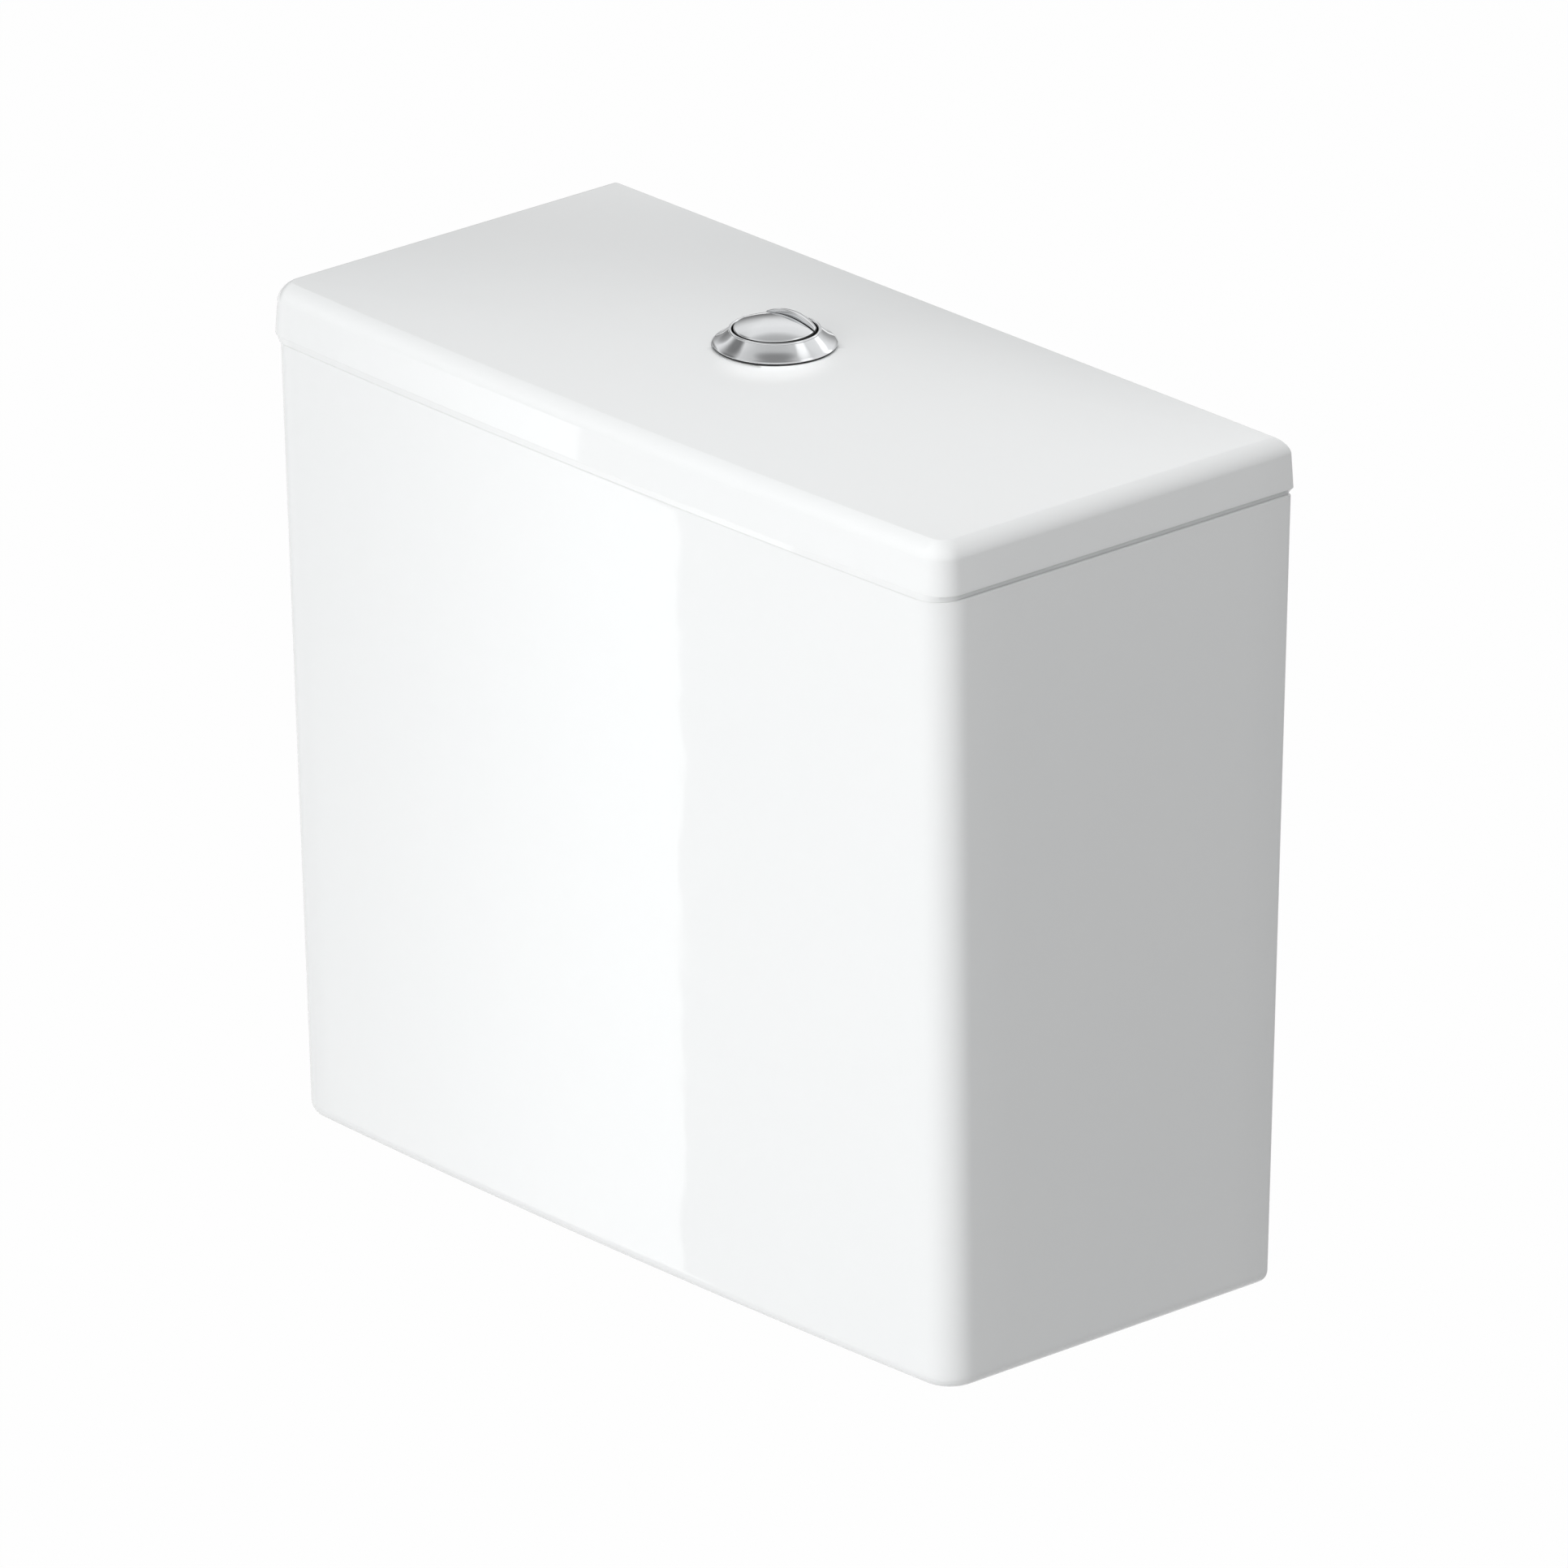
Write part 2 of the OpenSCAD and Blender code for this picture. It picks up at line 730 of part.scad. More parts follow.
// Tapered arm along +Y from a hub on the X axis, with a round nose
module lever_arm(reach, r_near, r_far) {
    translate([lever_x - lever_w / 2, 0, 0]) rotate([90, 0, 90]) linear_extrude(lever_w)
        polygon([[0, -r_near], [reach, -r_far], [reach, r_far], [0, r_near]]);
    bar_x(r_far, lever_x - lever_w / 2, lever_x + lever_w / 2, reach, 0);
}
// Rocker: a long hub, an arm with a push pad towards -Y and a lifting arm towards +Y
module rocker(nose_reach) {
    difference() {
        union() {
            bar_x(hub_r, hub_gap / 2, hub_end, 0, 0);
            lever_arm(nose_reach, hub_r - 1, nose_r);
            rotate([0, 0, 180]) mirror([1, 0, 0]) lever_arm(pad_reach, hub_r - 1, nose_r);
            translate([lever_x, -pad_reach, 0]) post(pad_r, -pad_under, pad_top);
        }
        bar_x(pin_r + pin_clear, -over, hub_end + over, 0, 0);
    }
}
module full_flush_lever() {
    color("lightsteelblue") translate([0, pin_y, lever_z]) rocker(full_bar_reach + nose_past);
}
module half_flush_lever() {
    color("steelblue") translate([0, pin_y, lever_z]) rotate(180) rocker(half_bar_reach + nose_past);
}

module lift_yoke() {
    bar_z = lever_z + bar_rise;
    color("gainsboro") difference() {
        union() {
            post(collar_r, yoke_z, yoke_z + yoke_h);
            translate([-yoke_half, overflow_r - 4, yoke_z])
                cube([2 * yoke_half, yoke_back_y - overflow_r + 4, yoke_h]);
            for (x = [-yoke_half, yoke_half - yoke_plate_t])
                translate([x, yoke_plate_y, yoke_z])
                    cube([yoke_plate_t, yoke_back_y - yoke_plate_y, bar_z + bar_r + 1 - yoke_z]);
            bar_x(bar_r, -yoke_half, yoke_half, pin_y + full_bar_reach, bar_z);
        }
        post(overflow_r + slide_clear, yoke_z - over, yoke_z + yoke_h + over);
    }
}

module overflow_tube() {
    bar_z = lever_z + bar_rise;
    bar_y = pin_y - half_bar_reach;
    near_x = stirrup_t / 2;
    far_x = -lever_x - lever_w / 2 - 1;
    color("gainsboro") union() {
        difference() {
            union() {
                post(overflow_r, tube_foot_z, overflow_z);
                post(seal_r - 1, seal_z + seal_t, seal_z + seal_t + foot_t);
                post(collar_r, overflow_z - collar_t, overflow_z);
            }
            post(overflow_in_r, tube_foot_z - over, overflow_z + over);
        }
        for (x = [near_x - stirrup_t, far_x - stirrup_t])
            translate([x, 1 - collar_r, overflow_z - over])
                cube([stirrup_t, bar_y + bar_r + 1 - 1 + collar_r, bar_z + bar_r + 1 - overflow_z + over]);
        bar_x(bar_r, far_x - stirrup_t, near_x, bar_y, bar_z);
    }
}

module tube_float() {
    color("whitesmoke") union() {
        tube(bell_r, bell_r - bell_wall, bell_z, bell_z + bell_h);
        tube(bell_r, overflow_r + tube_fit, bell_z + bell_h - bell_wall, bell_z + bell_h);
        tube(overflow_r + 3, overflow_r + tube_fit, bell_z + bell_h / 2, bell_z + bell_h);
    }
}

module flush_seal() {
    color("dimgray") tube(seal_r, overflow_r + tube_fit, seal_z, seal_z + seal_t);
}

module seal_retainer() {
    color("whitesmoke") tube(retainer_r, overflow_r + tube_fit, seal_z - retainer_h, seal_z);
}

module fill_valve_body() {
    base_z = floor_z + washer_t;
    nut_end = under_z - inlet_nut_h;
    stop_z = float_top - float_h - slide_clear;
    profile = [
        [inlet_bore_r, -inlet_drop],
        [inlet_r, -inlet_drop],
        [inlet_r, nut_end - relief_w],
        [inlet_r - 1, nut_end - relief_w],
        [inlet_r - 1, nut_end],
        [inlet_r, nut_end],
        [inlet_r, base_z],
        [inlet_flange_r, base_z],
        [inlet_flange_r, base_z + inlet_flange_t],
        [root_r, base_z + inlet_flange_t + root_fillet],
        [root_r, base_z + root_h],
        [riser_r, base_z + root_h + root_r - riser_r],
        [riser_r, stop_z - stop_ring_t],
        [stop_ring_r, stop_z - stop_ring_t],
        [stop_ring_r, stop_z],
        [riser_r, stop_z],
        [riser_r, riser_top - riser_flange_t],
        [riser_flange_r, riser_top - riser_flange_t],
        [riser_flange_r, riser_top],
        [inlet_bore_r, riser_top]
    ];
    color("whitesmoke") at_inlet() rotate_extrude() polygon(profile);
}

module inlet_washer() {
    color("dimgray") at_inlet() tube(inlet_flange_r + 1, inlet_r + slide_clear, floor_z, floor_z + washer_t);
}

module inlet_back_nut() {
    color("whitesmoke") at_inlet() difference() {
        union() {
            hexagon(inlet_nut_flats, under_z - inlet_nut_h, under_z);
            post(inlet_nut_flats / 2 + 3, under_z - 3, under_z);
        }
        post(inlet_r + pin_clear, under_z - inlet_nut_h - over, under_z + over);
    }
}

module inlet_filter() {
    color("lightblue") at_inlet() union() {
        tube(filter_r, filter_r - 1.2, 1 - inlet_drop, 1 - inlet_drop + filter_h);
        post(filter_r, filter_h - inlet_drop, 1 - inlet_drop + filter_h);
    }
}

module fill_valve_cap() {
    roof_z = riser_top + cap_h;
    profile = [
        [0, riser_top + chamber_h],
        [chamber_r, riser_top + chamber_h],
        [chamber_r, riser_top + slide_clear],
        [riser_flange_r + slide_clear, riser_top + slide_clear],
        [riser_flange_r + slide_clear, riser_top - cap_skirt],
        [cap_r, riser_top - cap_skirt],
        [cap_r, roof_z - 5],
        [cap_r - 1.5, roof_z - 1.5],
        [cap_r - 5, roof_z],
        [0, roof_z]
    ];
    color("whitesmoke") at_inlet() difference() {
        union() {
            rotate_extrude() polygon(profile);
            for (y = [arm_half_w + slide_clear, -arm_half_w - slide_clear - ear_t]) {
                translate([arm_pin_x - arm_hub_r, y, roof_z - over])
                    cube([2 * arm_hub_r, ear_t, arm_z - roof_z + over]);
                translate([arm_pin_x, y, arm_z]) rotate([-90, 0, 0]) cylinder(r = arm_hub_r, h = ear_t);
            }
        }
        translate([arm_pin_x, -cap_r, arm_z]) rotate([-90, 0, 0]) cylinder(r = arm_pin_r + pin_clear, h = 2 * cap_r);
    }
}

module fill_diaphragm() {
    color("dimgray") at_inlet() post(chamber_r - slide_clear, riser_top, riser_top + diaphragm_t);
}

module float_cup() {
    sleeve_in = riser_r + slide_clear;
    color("whitesmoke") at_inlet() difference() {
        union() {
            tube(float_r, float_r - float_wall, float_top - float_h, float_top);
            tube(sleeve_in + 2, sleeve_in, float_top - float_h, float_top);
            tube(float_r, sleeve_in, float_top - float_wall, float_top);
            translate([link_x, 0, 0]) post(link_head_r + 1, float_top - float_wall, float_top + 5);
        }
        translate([link_x, 0, 0]) post(link_r + pin_clear, float_top, float_top + 5 + over);
    }
}

module float_link() {
    color("silver") at_inlet() translate([link_x, 0, 0]) union() {
        post(link_r, float_top, arm_z + arm_half_t + link_play + link_head_t);
        post(link_head_r, arm_z + arm_half_t + link_play, arm_z + arm_half_t + link_play + link_head_t);
        post(link_head_r, arm_z - arm_half_t - link_play - link_head_t, arm_z - arm_half_t - link_play);
    }
}

module float_arm() {
    color("lightsteelblue") at_inlet() translate([arm_pin_x, 0, arm_z]) difference() {
        union() {
            rotate([90, 0, 0]) cylinder(r = arm_hub_r - slide_clear, h = 2 * arm_half_w, center = true);
            translate([0, -arm_half_w, -arm_half_t]) cube([arm_reach + arm_tail, 2 * arm_half_w, 2 * arm_half_t]);
        }
        rotate([90, 0, 0]) cylinder(r = arm_pin_r + pin_clear, h = 2 * cap_r, center = true);
        translate([arm_reach - slot_in, -slot_w / 2, -arm_half_t - over])
            cube([slot_in + slot_out, slot_w, 2 * arm_half_t + 2 * over]);
    }
}

module float_arm_pin() {
    half = arm_half_w + slide_clear + ear_t + 0.5;
    color("silver") at_inlet() translate([arm_pin_x, half, arm_z])
        rotate([90, 0, 0]) cylinder(r = arm_pin_r, h = 2 * half);
}

module pan_bolts() {
    head_z = floor_z + cone_rubber_t + steel_t;
    thread_z = -0.4;
    color("silver") at_bolts() union() {
        post(bolt_r, -bolt_drop, thread_z);
        post(bolt_shank_r, thread_z, head_z);
        hexagon(nut_flats, head_z, head_z + bolt_head_h);
    }
}

module bolt_cone_washers() {
    profile = [
        [bolt_shank_r + washer_clear, floor_z],
        [cone_r, floor_z],
        [cone_r, floor_z + 1.5],
        [cone_top_r, floor_z + cone_rubber_t],
        [bolt_shank_r + washer_clear, floor_z + cone_rubber_t]
    ];
    color("dimgray") at_bolts() rotate_extrude() polygon(profile);
}

module bolt_steel_washers() {
    color("silver") at_bolts() for (z = [floor_z + cone_rubber_t, nut_h])
        tube(steel_r, bolt_shank_r + washer_clear, z, z + steel_t);
}

module bolt_flat_washers() {
    color("dimgray") at_bolts() tube(rubber_r, bolt_shank_r + washer_clear, nut_h + steel_t, under_z);
}

module bolt_nuts() {
    color("silver") at_bolts() difference() {
        hexagon(nut_flats, 0, nut_h);
        post(bolt_shank_r + pin_clear, -over, nut_h + over);
    }
}

tank();
lid();
button_bezel();
bezel_gasket();
bezel_lock_nut();
full_flush_button();
half_flush_button();
full_flush_rod();
half_flush_rod();
full_button_spring();
half_button_spring();
valve_seat();
seat_washer();
outlet_back_nut();
coupling_gasket();
valve_cage();
valve_head();
lever_pin();
full_flush_lever();
half_flush_lever();
lift_yoke();
overflow_tube();
tube_float();
flush_seal();
seal_retainer();
fill_valve_body();
inlet_washer();
inlet_back_nut();
inlet_filter();
fill_valve_cap();
fill_diaphragm();
float_cup();
float_link();
float_arm();
float_arm_pin();
pan_bolts();
bolt_cone_washers();
bolt_steel_washers();
bolt_flat_washers();
bolt_nuts();
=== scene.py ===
"""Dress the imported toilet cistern: glazed ceramic, chrome push button, valve plastics, studio and camera.

Sizes are in millimetres and are turned into metres where a mesh is shaped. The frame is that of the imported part:
the origin lies midway between the two pan studs, +Z is up and -Y is the front.
"""

import json
import logging
import math
from dataclasses import dataclass, field
from enum import Enum
from typing import Any, Callable, Sequence

import bmesh
import bpy
from mathutils import Matrix, Vector


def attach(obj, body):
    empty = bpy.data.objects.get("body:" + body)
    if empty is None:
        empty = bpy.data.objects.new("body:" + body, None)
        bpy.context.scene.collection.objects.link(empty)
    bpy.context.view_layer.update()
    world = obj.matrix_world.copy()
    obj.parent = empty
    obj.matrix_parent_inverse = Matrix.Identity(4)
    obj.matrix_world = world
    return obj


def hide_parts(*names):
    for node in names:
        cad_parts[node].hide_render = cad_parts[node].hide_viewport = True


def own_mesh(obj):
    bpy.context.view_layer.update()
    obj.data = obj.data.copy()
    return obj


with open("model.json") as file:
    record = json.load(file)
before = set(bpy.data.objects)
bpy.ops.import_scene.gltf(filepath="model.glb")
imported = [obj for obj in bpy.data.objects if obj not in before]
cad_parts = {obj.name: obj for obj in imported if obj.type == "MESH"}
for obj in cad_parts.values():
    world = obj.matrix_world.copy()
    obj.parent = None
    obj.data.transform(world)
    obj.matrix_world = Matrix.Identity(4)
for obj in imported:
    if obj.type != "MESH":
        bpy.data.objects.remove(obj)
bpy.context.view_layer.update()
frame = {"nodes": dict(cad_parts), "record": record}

MM = 0.001
Point = tuple[float, float, float]
Ring = list[Point]
Colour = tuple[float, float, float]
Piece = bpy.types.Object

logging.basicConfig(level=logging.INFO, format="%(message)s")
log = logging.getLogger("cistern")


class Tip(Enum):
    """How the last ring of a stack is closed."""

    FLAT = "flat"
    POINT = "point"
    LOOP = "loop"


class Slot(Enum):
    """The record's material slots."""

    GLAZE = "glaze"
    CHROME = "chrome"
    WHITE = "white_plastic"
    GREY = "grey_plastic"
    BLUE = "blue_plastic"
    RUBBER = "rubber"
    STEEL = "steel"


class Value:
    """A shader socket that takes part in Python arithmetic."""

    def __init__(self, shader: "Shader", socket: bpy.types.NodeSocket) -> None:
        """Keep the socket and the shader that it belongs to."""
        self.shader = shader
        self.socket = socket

    def math(self, operation: str, other: Any = None, flip: bool = False) -> "Value":
        """Add a Math node.

        Args:
            operation: the Math node's operation.
            other: the second operand, a number or a Value.
            flip: whether the other operand comes first.

        Returns:
            The result as a Value.
        """
        pair = [self] if other is None else [self, other]
        if flip:
            pair.reverse()
        return self.shader.add("ShaderNodeMath", {"operation": operation}, dict(enumerate(pair)))

    def __add__(self, other: Any) -> "Value":
        """Sum."""
        return self.math("ADD", other)

    def __radd__(self, other: Any) -> "Value":
        """Sum, reflected."""
        return self.math("ADD", other, True)

    def __sub__(self, other: Any) -> "Value":
        """Difference."""
        return self.math("SUBTRACT", other)

    def __rsub__(self, other: Any) -> "Value":
        """Difference, reflected."""
        return self.math("SUBTRACT", other, True)

    def __mul__(self, other: Any) -> "Value":
        """Product."""
        return self.math("MULTIPLY", other)

    def __rmul__(self, other: Any) -> "Value":
        """Product, reflected."""
        return self.math("MULTIPLY", other, True)

    def __truediv__(self, other: Any) -> "Value":
        """Quotient."""
        return self.math("DIVIDE", other)

    def __gt__(self, other: Any) -> "Value":
        """One where this is greater, nothing elsewhere."""
        return self.math("GREATER_THAN", other)

    def __lt__(self, other: Any) -> "Value":
        """One where this is less, nothing elsewhere."""
        return self.math("LESS_THAN", other)


class Shader:
    """Builds the node tree of one material or of the world."""

    def __init__(self, owner: Any) -> None:
        """Start from an empty tree.

        Args:
            owner: a material or a world.
        """
        owner.use_nodes = True
        self.tree = owner.node_tree
        self.tree.nodes.clear()

    def add(self, kind: str, settings: dict | None = None, inputs: dict | None = None, out: int | str = 0) -> Value:
        """Add any node.

        Args:
            kind: the node's type.
            settings: attributes that are set first; "stops" holds a ramp's places and colours.
            inputs: values or links of its sockets, by name or number.
            out: the output that is returned.

        Returns:
            The chosen output as a Value.
        """
        node = self.tree.nodes.new(kind)
        for key, value in (settings or {}).items():
            if key == "stops":
                ramp = node.color_ramp.elements
                while len(ramp) < len(value):
                    ramp.new(0.5)
                for element, (place, colour) in zip(ramp, value):
                    element.position = place
                    element.color = (*colour, 1.0)
            else:
                setattr(node, key, value)
        for key, value in (inputs or {}).items():
            if isinstance(value, Value):
                self.tree.links.new(value.socket, node.inputs[key])
            else:
                node.inputs[key].default_value = value
        return Value(self, node.outputs[out]) if node.outputs else Value(self, node.inputs[0])

    def place(self) -> Value:
        """The piece's own coordinates, in metres."""
        return self.add("ShaderNodeTexCoord", out="Object")

    def axis(self, vector: Value, letter: str) -> Value:
        """One component of a vector."""
        return self.add("ShaderNodeSeparateXYZ", {}, {0: vector}, letter)

    def noise(self, scale: float, detail: float = 2.0, stretch: Point = (1, 1, 1), rough: float = 0.5) -> Value:
        """Noise from nothing to one over the piece.

        Args:
            scale: cells per metre.
            detail: octaves.
            stretch: factors on the three axes.
            rough: share of the finer octaves.

        Returns:
            The noise as a Value.
        """
        spread = self.add("ShaderNodeMapping", {}, {"Vector": self.place(), "Scale": stretch})
        return self.add(
            "ShaderNodeTexNoise",
            {},
            {"Vector": spread, "Scale": scale, "Detail": detail, "Roughness": rough},
        )

    def ramp(self, value: Value, low: float, high: float) -> Value:
        """A smooth step from nothing at low to one at high."""
        return self.add(
            "ShaderNodeMapRange",
            {"interpolation_type": "SMOOTHSTEP"},
            {"Value": value, "From Min": low, "From Max": high},
        )

    def blend(self, share: Value, first: Any, second: Any) -> Value:
        """Mix two colours.

        Args:
            share: how much of the second colour shows.
            first: a colour or a Value.
            second: a colour or a Value.

        Returns:
            The mixed colour as a Value.
        """
        pair = [(*c, 1.0) if isinstance(c, tuple) else c for c in (first, second)]
        return self.add("ShaderNodeMix", {"data_type": "RGBA"}, {"Factor": share, 6: pair[0], 7: pair[1]}, 2)

    def bump(self, height: Value, strength: float, distance: float) -> Value:
        """A Bump node that feeds a Normal socket."""
        return self.add("ShaderNodeBump", {}, {"Height": height, "Strength": strength, "Distance": distance})

    def principled(self, inputs: dict) -> None:
        """Finish the tree with one Principled shader.

        Args:
            inputs: values or links of its sockets.
        """
        surface = self.add("ShaderNodeBsdfPrincipled", {}, inputs)
        self.add("ShaderNodeOutputMaterial", {}, {"Surface": surface})


def new_shader(name: str) -> tuple[bpy.types.Material, Shader]:
    """Start a material.

    Args:
        name: the material's name.

    Returns:
        The material and the builder of its tree.
    """
    material = bpy.data.materials.new(name)
    return material, Shader(material)


@dataclass(frozen=True)
class GlazeFinish:
    """White sanitary glaze over fired clay, bare where the piece stood in the kiln."""

    name: str
    bare_z: float
    tone: Colour = (0.845, 0.855, 0.855)
    deep: Colour = (0.83, 0.845, 0.85)
    clay: Colour = (0.78, 0.765, 0.73)
    gloss: float = 0.015

    def make(self) -> bpy.types.Material:
        """Build the material: soft orange peel, faint tone drift, matt clay on the bare faces below bare_z."""
        material, shader = new_shader(self.name)
        drift = shader.noise(9.0, 3.0)
        down = shader.axis(shader.add("ShaderNodeTexCoord", out="Normal"), "Z") < -0.9
        low = shader.axis(shader.place(), "Z") < self.bare_z * MM
        grain = shader.noise(2600.0, 3.0)
        edge = shader.ramp(shader.noise(420.0, 2.0), 0.35, 0.45)
        bare = down * low * edge
        glaze = shader.blend(drift, self.tone, self.deep)
        clay = shader.blend(grain, self.clay, tuple(c * 0.9 for c in self.clay))
        pits = shader.ramp(shader.noise(800.0, 1.0), 0.24, 0.3)
        gloss = self.gloss + 0.015 * drift + 0.05 * (1 - pits)
        wave = shader.noise(46.0, 1.0) + 0.02 * shader.noise(900.0, 1.0) + 2.0 * bare * grain
        shader.principled(
            {
                "Base Color": shader.blend(bare, glaze, clay),
                "Roughness": gloss + 0.6 * bare,
                "IOR": 1.52,
                "Normal": shader.bump(wave, 0.1, 0.0004),
            }
        )
        return material


@dataclass(frozen=True)
class ChromeFinish:
    """Polished chrome plate on moulded plastic."""

    name: str
    gap_shade_r: float
    dome_at: Point
    dome_r: float
    tone: Colour = (0.8, 0.81, 0.82)
    haze: Colour = (0.74, 0.755, 0.77)
    # Painted shade: near-black unplated plastic, this dark so that it stands for the shade line in the gaps round the
    # buttons.
    bare: Colour = (0.02, 0.02, 0.02)

    def make(self) -> bpy.types.Material:
        """Build the material: mirror plate with wiping haze and hair scratches, and painted shade on the upright
        faces of the gaps: near-black unplated plastic standing for the dark shade line there.
        """
        material, shader = new_shader(self.name)
        across = shader.axis(shader.place(), "X")
        along = shader.axis(shader.place(), "Y")
        inside = across * across + along * along < (self.gap_shade_r * MM) ** 2
        middle = Vector(self.dome_at) * MM
        depth = shader.add("ShaderNodeVectorMath", {"operation": "DISTANCE"}, {0: shader.place(), 1: middle}, "Value")
        # Painted shade: upright faces inside the bore and under the dome turn near-black and matt, standing for the
        # dark gap line.
        gap_shade_zone = inside * (depth < self.dome_r * MM)
        unshaded_plate = 1 - gap_shade_zone * (shader.axis(shader.add("ShaderNodeTexCoord", out="Normal"), "Z") < 0.3)
        haze = shader.noise(160.0, 4.0)
        hair = shader.ramp(shader.noise(900.0, 2.0, (1.0, 14.0, 3.0)), 0.62, 0.75)
        shader.principled(
            {
                "Base Color": shader.blend(unshaded_plate, self.bare, shader.blend(haze, self.tone, self.haze)),
                "Metallic": unshaded_plate,
                "Roughness": 0.5 - unshaded_plate * (0.465 - 0.03 * haze - 0.08 * hair),
                "Normal": shader.bump(shader.noise(240.0, 1.0), 0.03, 0.0002),
            }
        )
        return material


@dataclass(frozen=True)
class PlasticFinish:
    """Injection-moulded plastic with a fine mould grain and, on some pieces, a screw thread."""

    name: str
    tone: Colour
    gloss: float = 0.32
    grain: float = 0.06
    thread_x: float = 0.0
    thread_low: float = 0.0
    thread_high: float = 0.0
    thread_in: float = 0.0
    thread_out: float = 0.0
    pitch: float = 1.8

    def thread(self, shader: Shader) -> Value:
        """Height of the thread's ridges on the threaded stretch, nothing elsewhere.

        Args:
            shader: the tree that is being built.

        Returns:
            The height as a Value.
        """
        spot = shader.add(
            "ShaderNodeVectorMath",
            {"operation": "SUBTRACT"},
            {0: shader.place(), 1: (self.thread_x * MM, 0.0, 0.0)},
        )
        x = shader.axis(spot, "X")
        y = shader.axis(spot, "Y")
        z = shader.axis(spot, "Z")
        turn = y.math("ARCTAN2", x) / math.tau
        reach = (x * x + y * y).math("SQRT")
        ridge = (z / (self.pitch * MM) + turn).math("PINGPONG", 0.5) * 2.0
        span = (z > self.thread_low * MM) * (z < self.thread_high * MM)
        ring = (reach > self.thread_in * MM) * (reach < self.thread_out * MM)
        return ridge * span * ring

    def make(self) -> bpy.types.Material:
        """Build the material: tone drift, mould grain, rubbed edges and the thread where there is one."""
        material, shader = new_shader(self.name)
        drift = shader.noise(35.0, 3.0)
        grain = shader.noise(3200.0, 2.0)
        rub = shader.ramp(shader.noise(300.0, 4.0, (1.0, 1.0, 0.25)), 0.58, 0.75)
        dull = tuple(c * 0.93 for c in self.tone)
        height = grain * self.grain
        if self.thread_high > self.thread_low:
            height = height + self.thread(shader)
        shader.principled(
            {
                "Base Color": shader.blend(drift * 0.7 + rub * 0.3, self.tone, dull),
                "Roughness": self.gloss + 0.1 * drift + 0.12 * rub,
                "IOR": 1.48,
                "Normal": shader.bump(height, 0.6, 0.0008),
            }
        )
        return material


@dataclass(frozen=True)
class RubberFinish:
    """Black moulded rubber with a pale bloom."""

    name: str
    tone: Colour = (0.022, 0.022, 0.023)
    bloom: Colour = (0.07, 0.07, 0.068)

    def make(self) -> bpy.types.Material:
        """Build the material: matt skin, bloom in patches and a fine grain."""
        material, shader = new_shader(self.name)
        patches = shader.ramp(shader.noise(130.0, 5.0, rough=0.6), 0.45, 0.75)
        grain = shader.noise(1900.0, 3.0)
        shader.principled(
            {
                "Base Color": shader.blend(patches * 0.6, self.tone, self.bloom),
                "Roughness": 0.6 + 0.2 * patches,
                "IOR": 1.5,
                "Normal": shader.bump(grain, 0.25, 0.0004),
            }
        )
        return material


@dataclass(frozen=True)
class SteelFinish:
    """Plain stainless steel with turning marks."""

    name: str
    tone: Colour = (0.58, 0.58, 0.575)
    dark: Colour = (0.42, 0.42, 0.425)

    def make(self) -> bpy.types.Material:
        """Build the material: rings of turning marks and a little water stain."""
        material, shader = new_shader(self.name)
        rings = shader.noise(700.0, 2.0, (0.15, 0.15, 3.0))
        stain = shader.ramp(shader.noise(220.0, 4.0), 0.55, 0.75)
        shader.principled(
            {
                "Base Color": shader.blend(stain * 0.6 + rings * 0.3, self.tone, self.dark),
                "Metallic": 1.0,
                "Roughness": 0.24 + 0.16 * rings + 0.14 * stain,
                "Normal": shader.bump(rings, 0.15, 0.0002),
            }
        )
        return material


def deselect() -> None:
    """Leave edit mode and deselect every object."""
    if bpy.context.object and bpy.context.object.mode != "OBJECT":
        bpy.ops.object.mode_set(mode="OBJECT")
    bpy.ops.object.select_all(action="DESELECT")


def pick(piece: Piece) -> None:
    """Make one piece the only selected and active one."""
    deselect()
    piece.select_set(True)
    bpy.context.view_layer.objects.active = piece


def smooth(piece: Piece, degrees: float = 35.0) -> None:
    """Shade a piece smooth, with edges sharper than the angle kept.

    Args:
        piece: the piece.
        degrees: the angle.
    """
    pick(piece)
    bpy.ops.object.shade_smooth_by_angle(angle=math.radians(degrees))


def tidy_mesh(piece: Piece) -> None:
    """Merge doubles and turn the faces of a closed piece outwards."""
    pick(piece)
    bpy.ops.object.mode_set(mode="EDIT")
    bpy.ops.mesh.select_all(action="SELECT")
    bpy.ops.mesh.remove_doubles(threshold=2e-6)
    bpy.ops.mesh.normals_make_consistent(inside=False)
    bpy.ops.object.mode_set(mode="OBJECT")


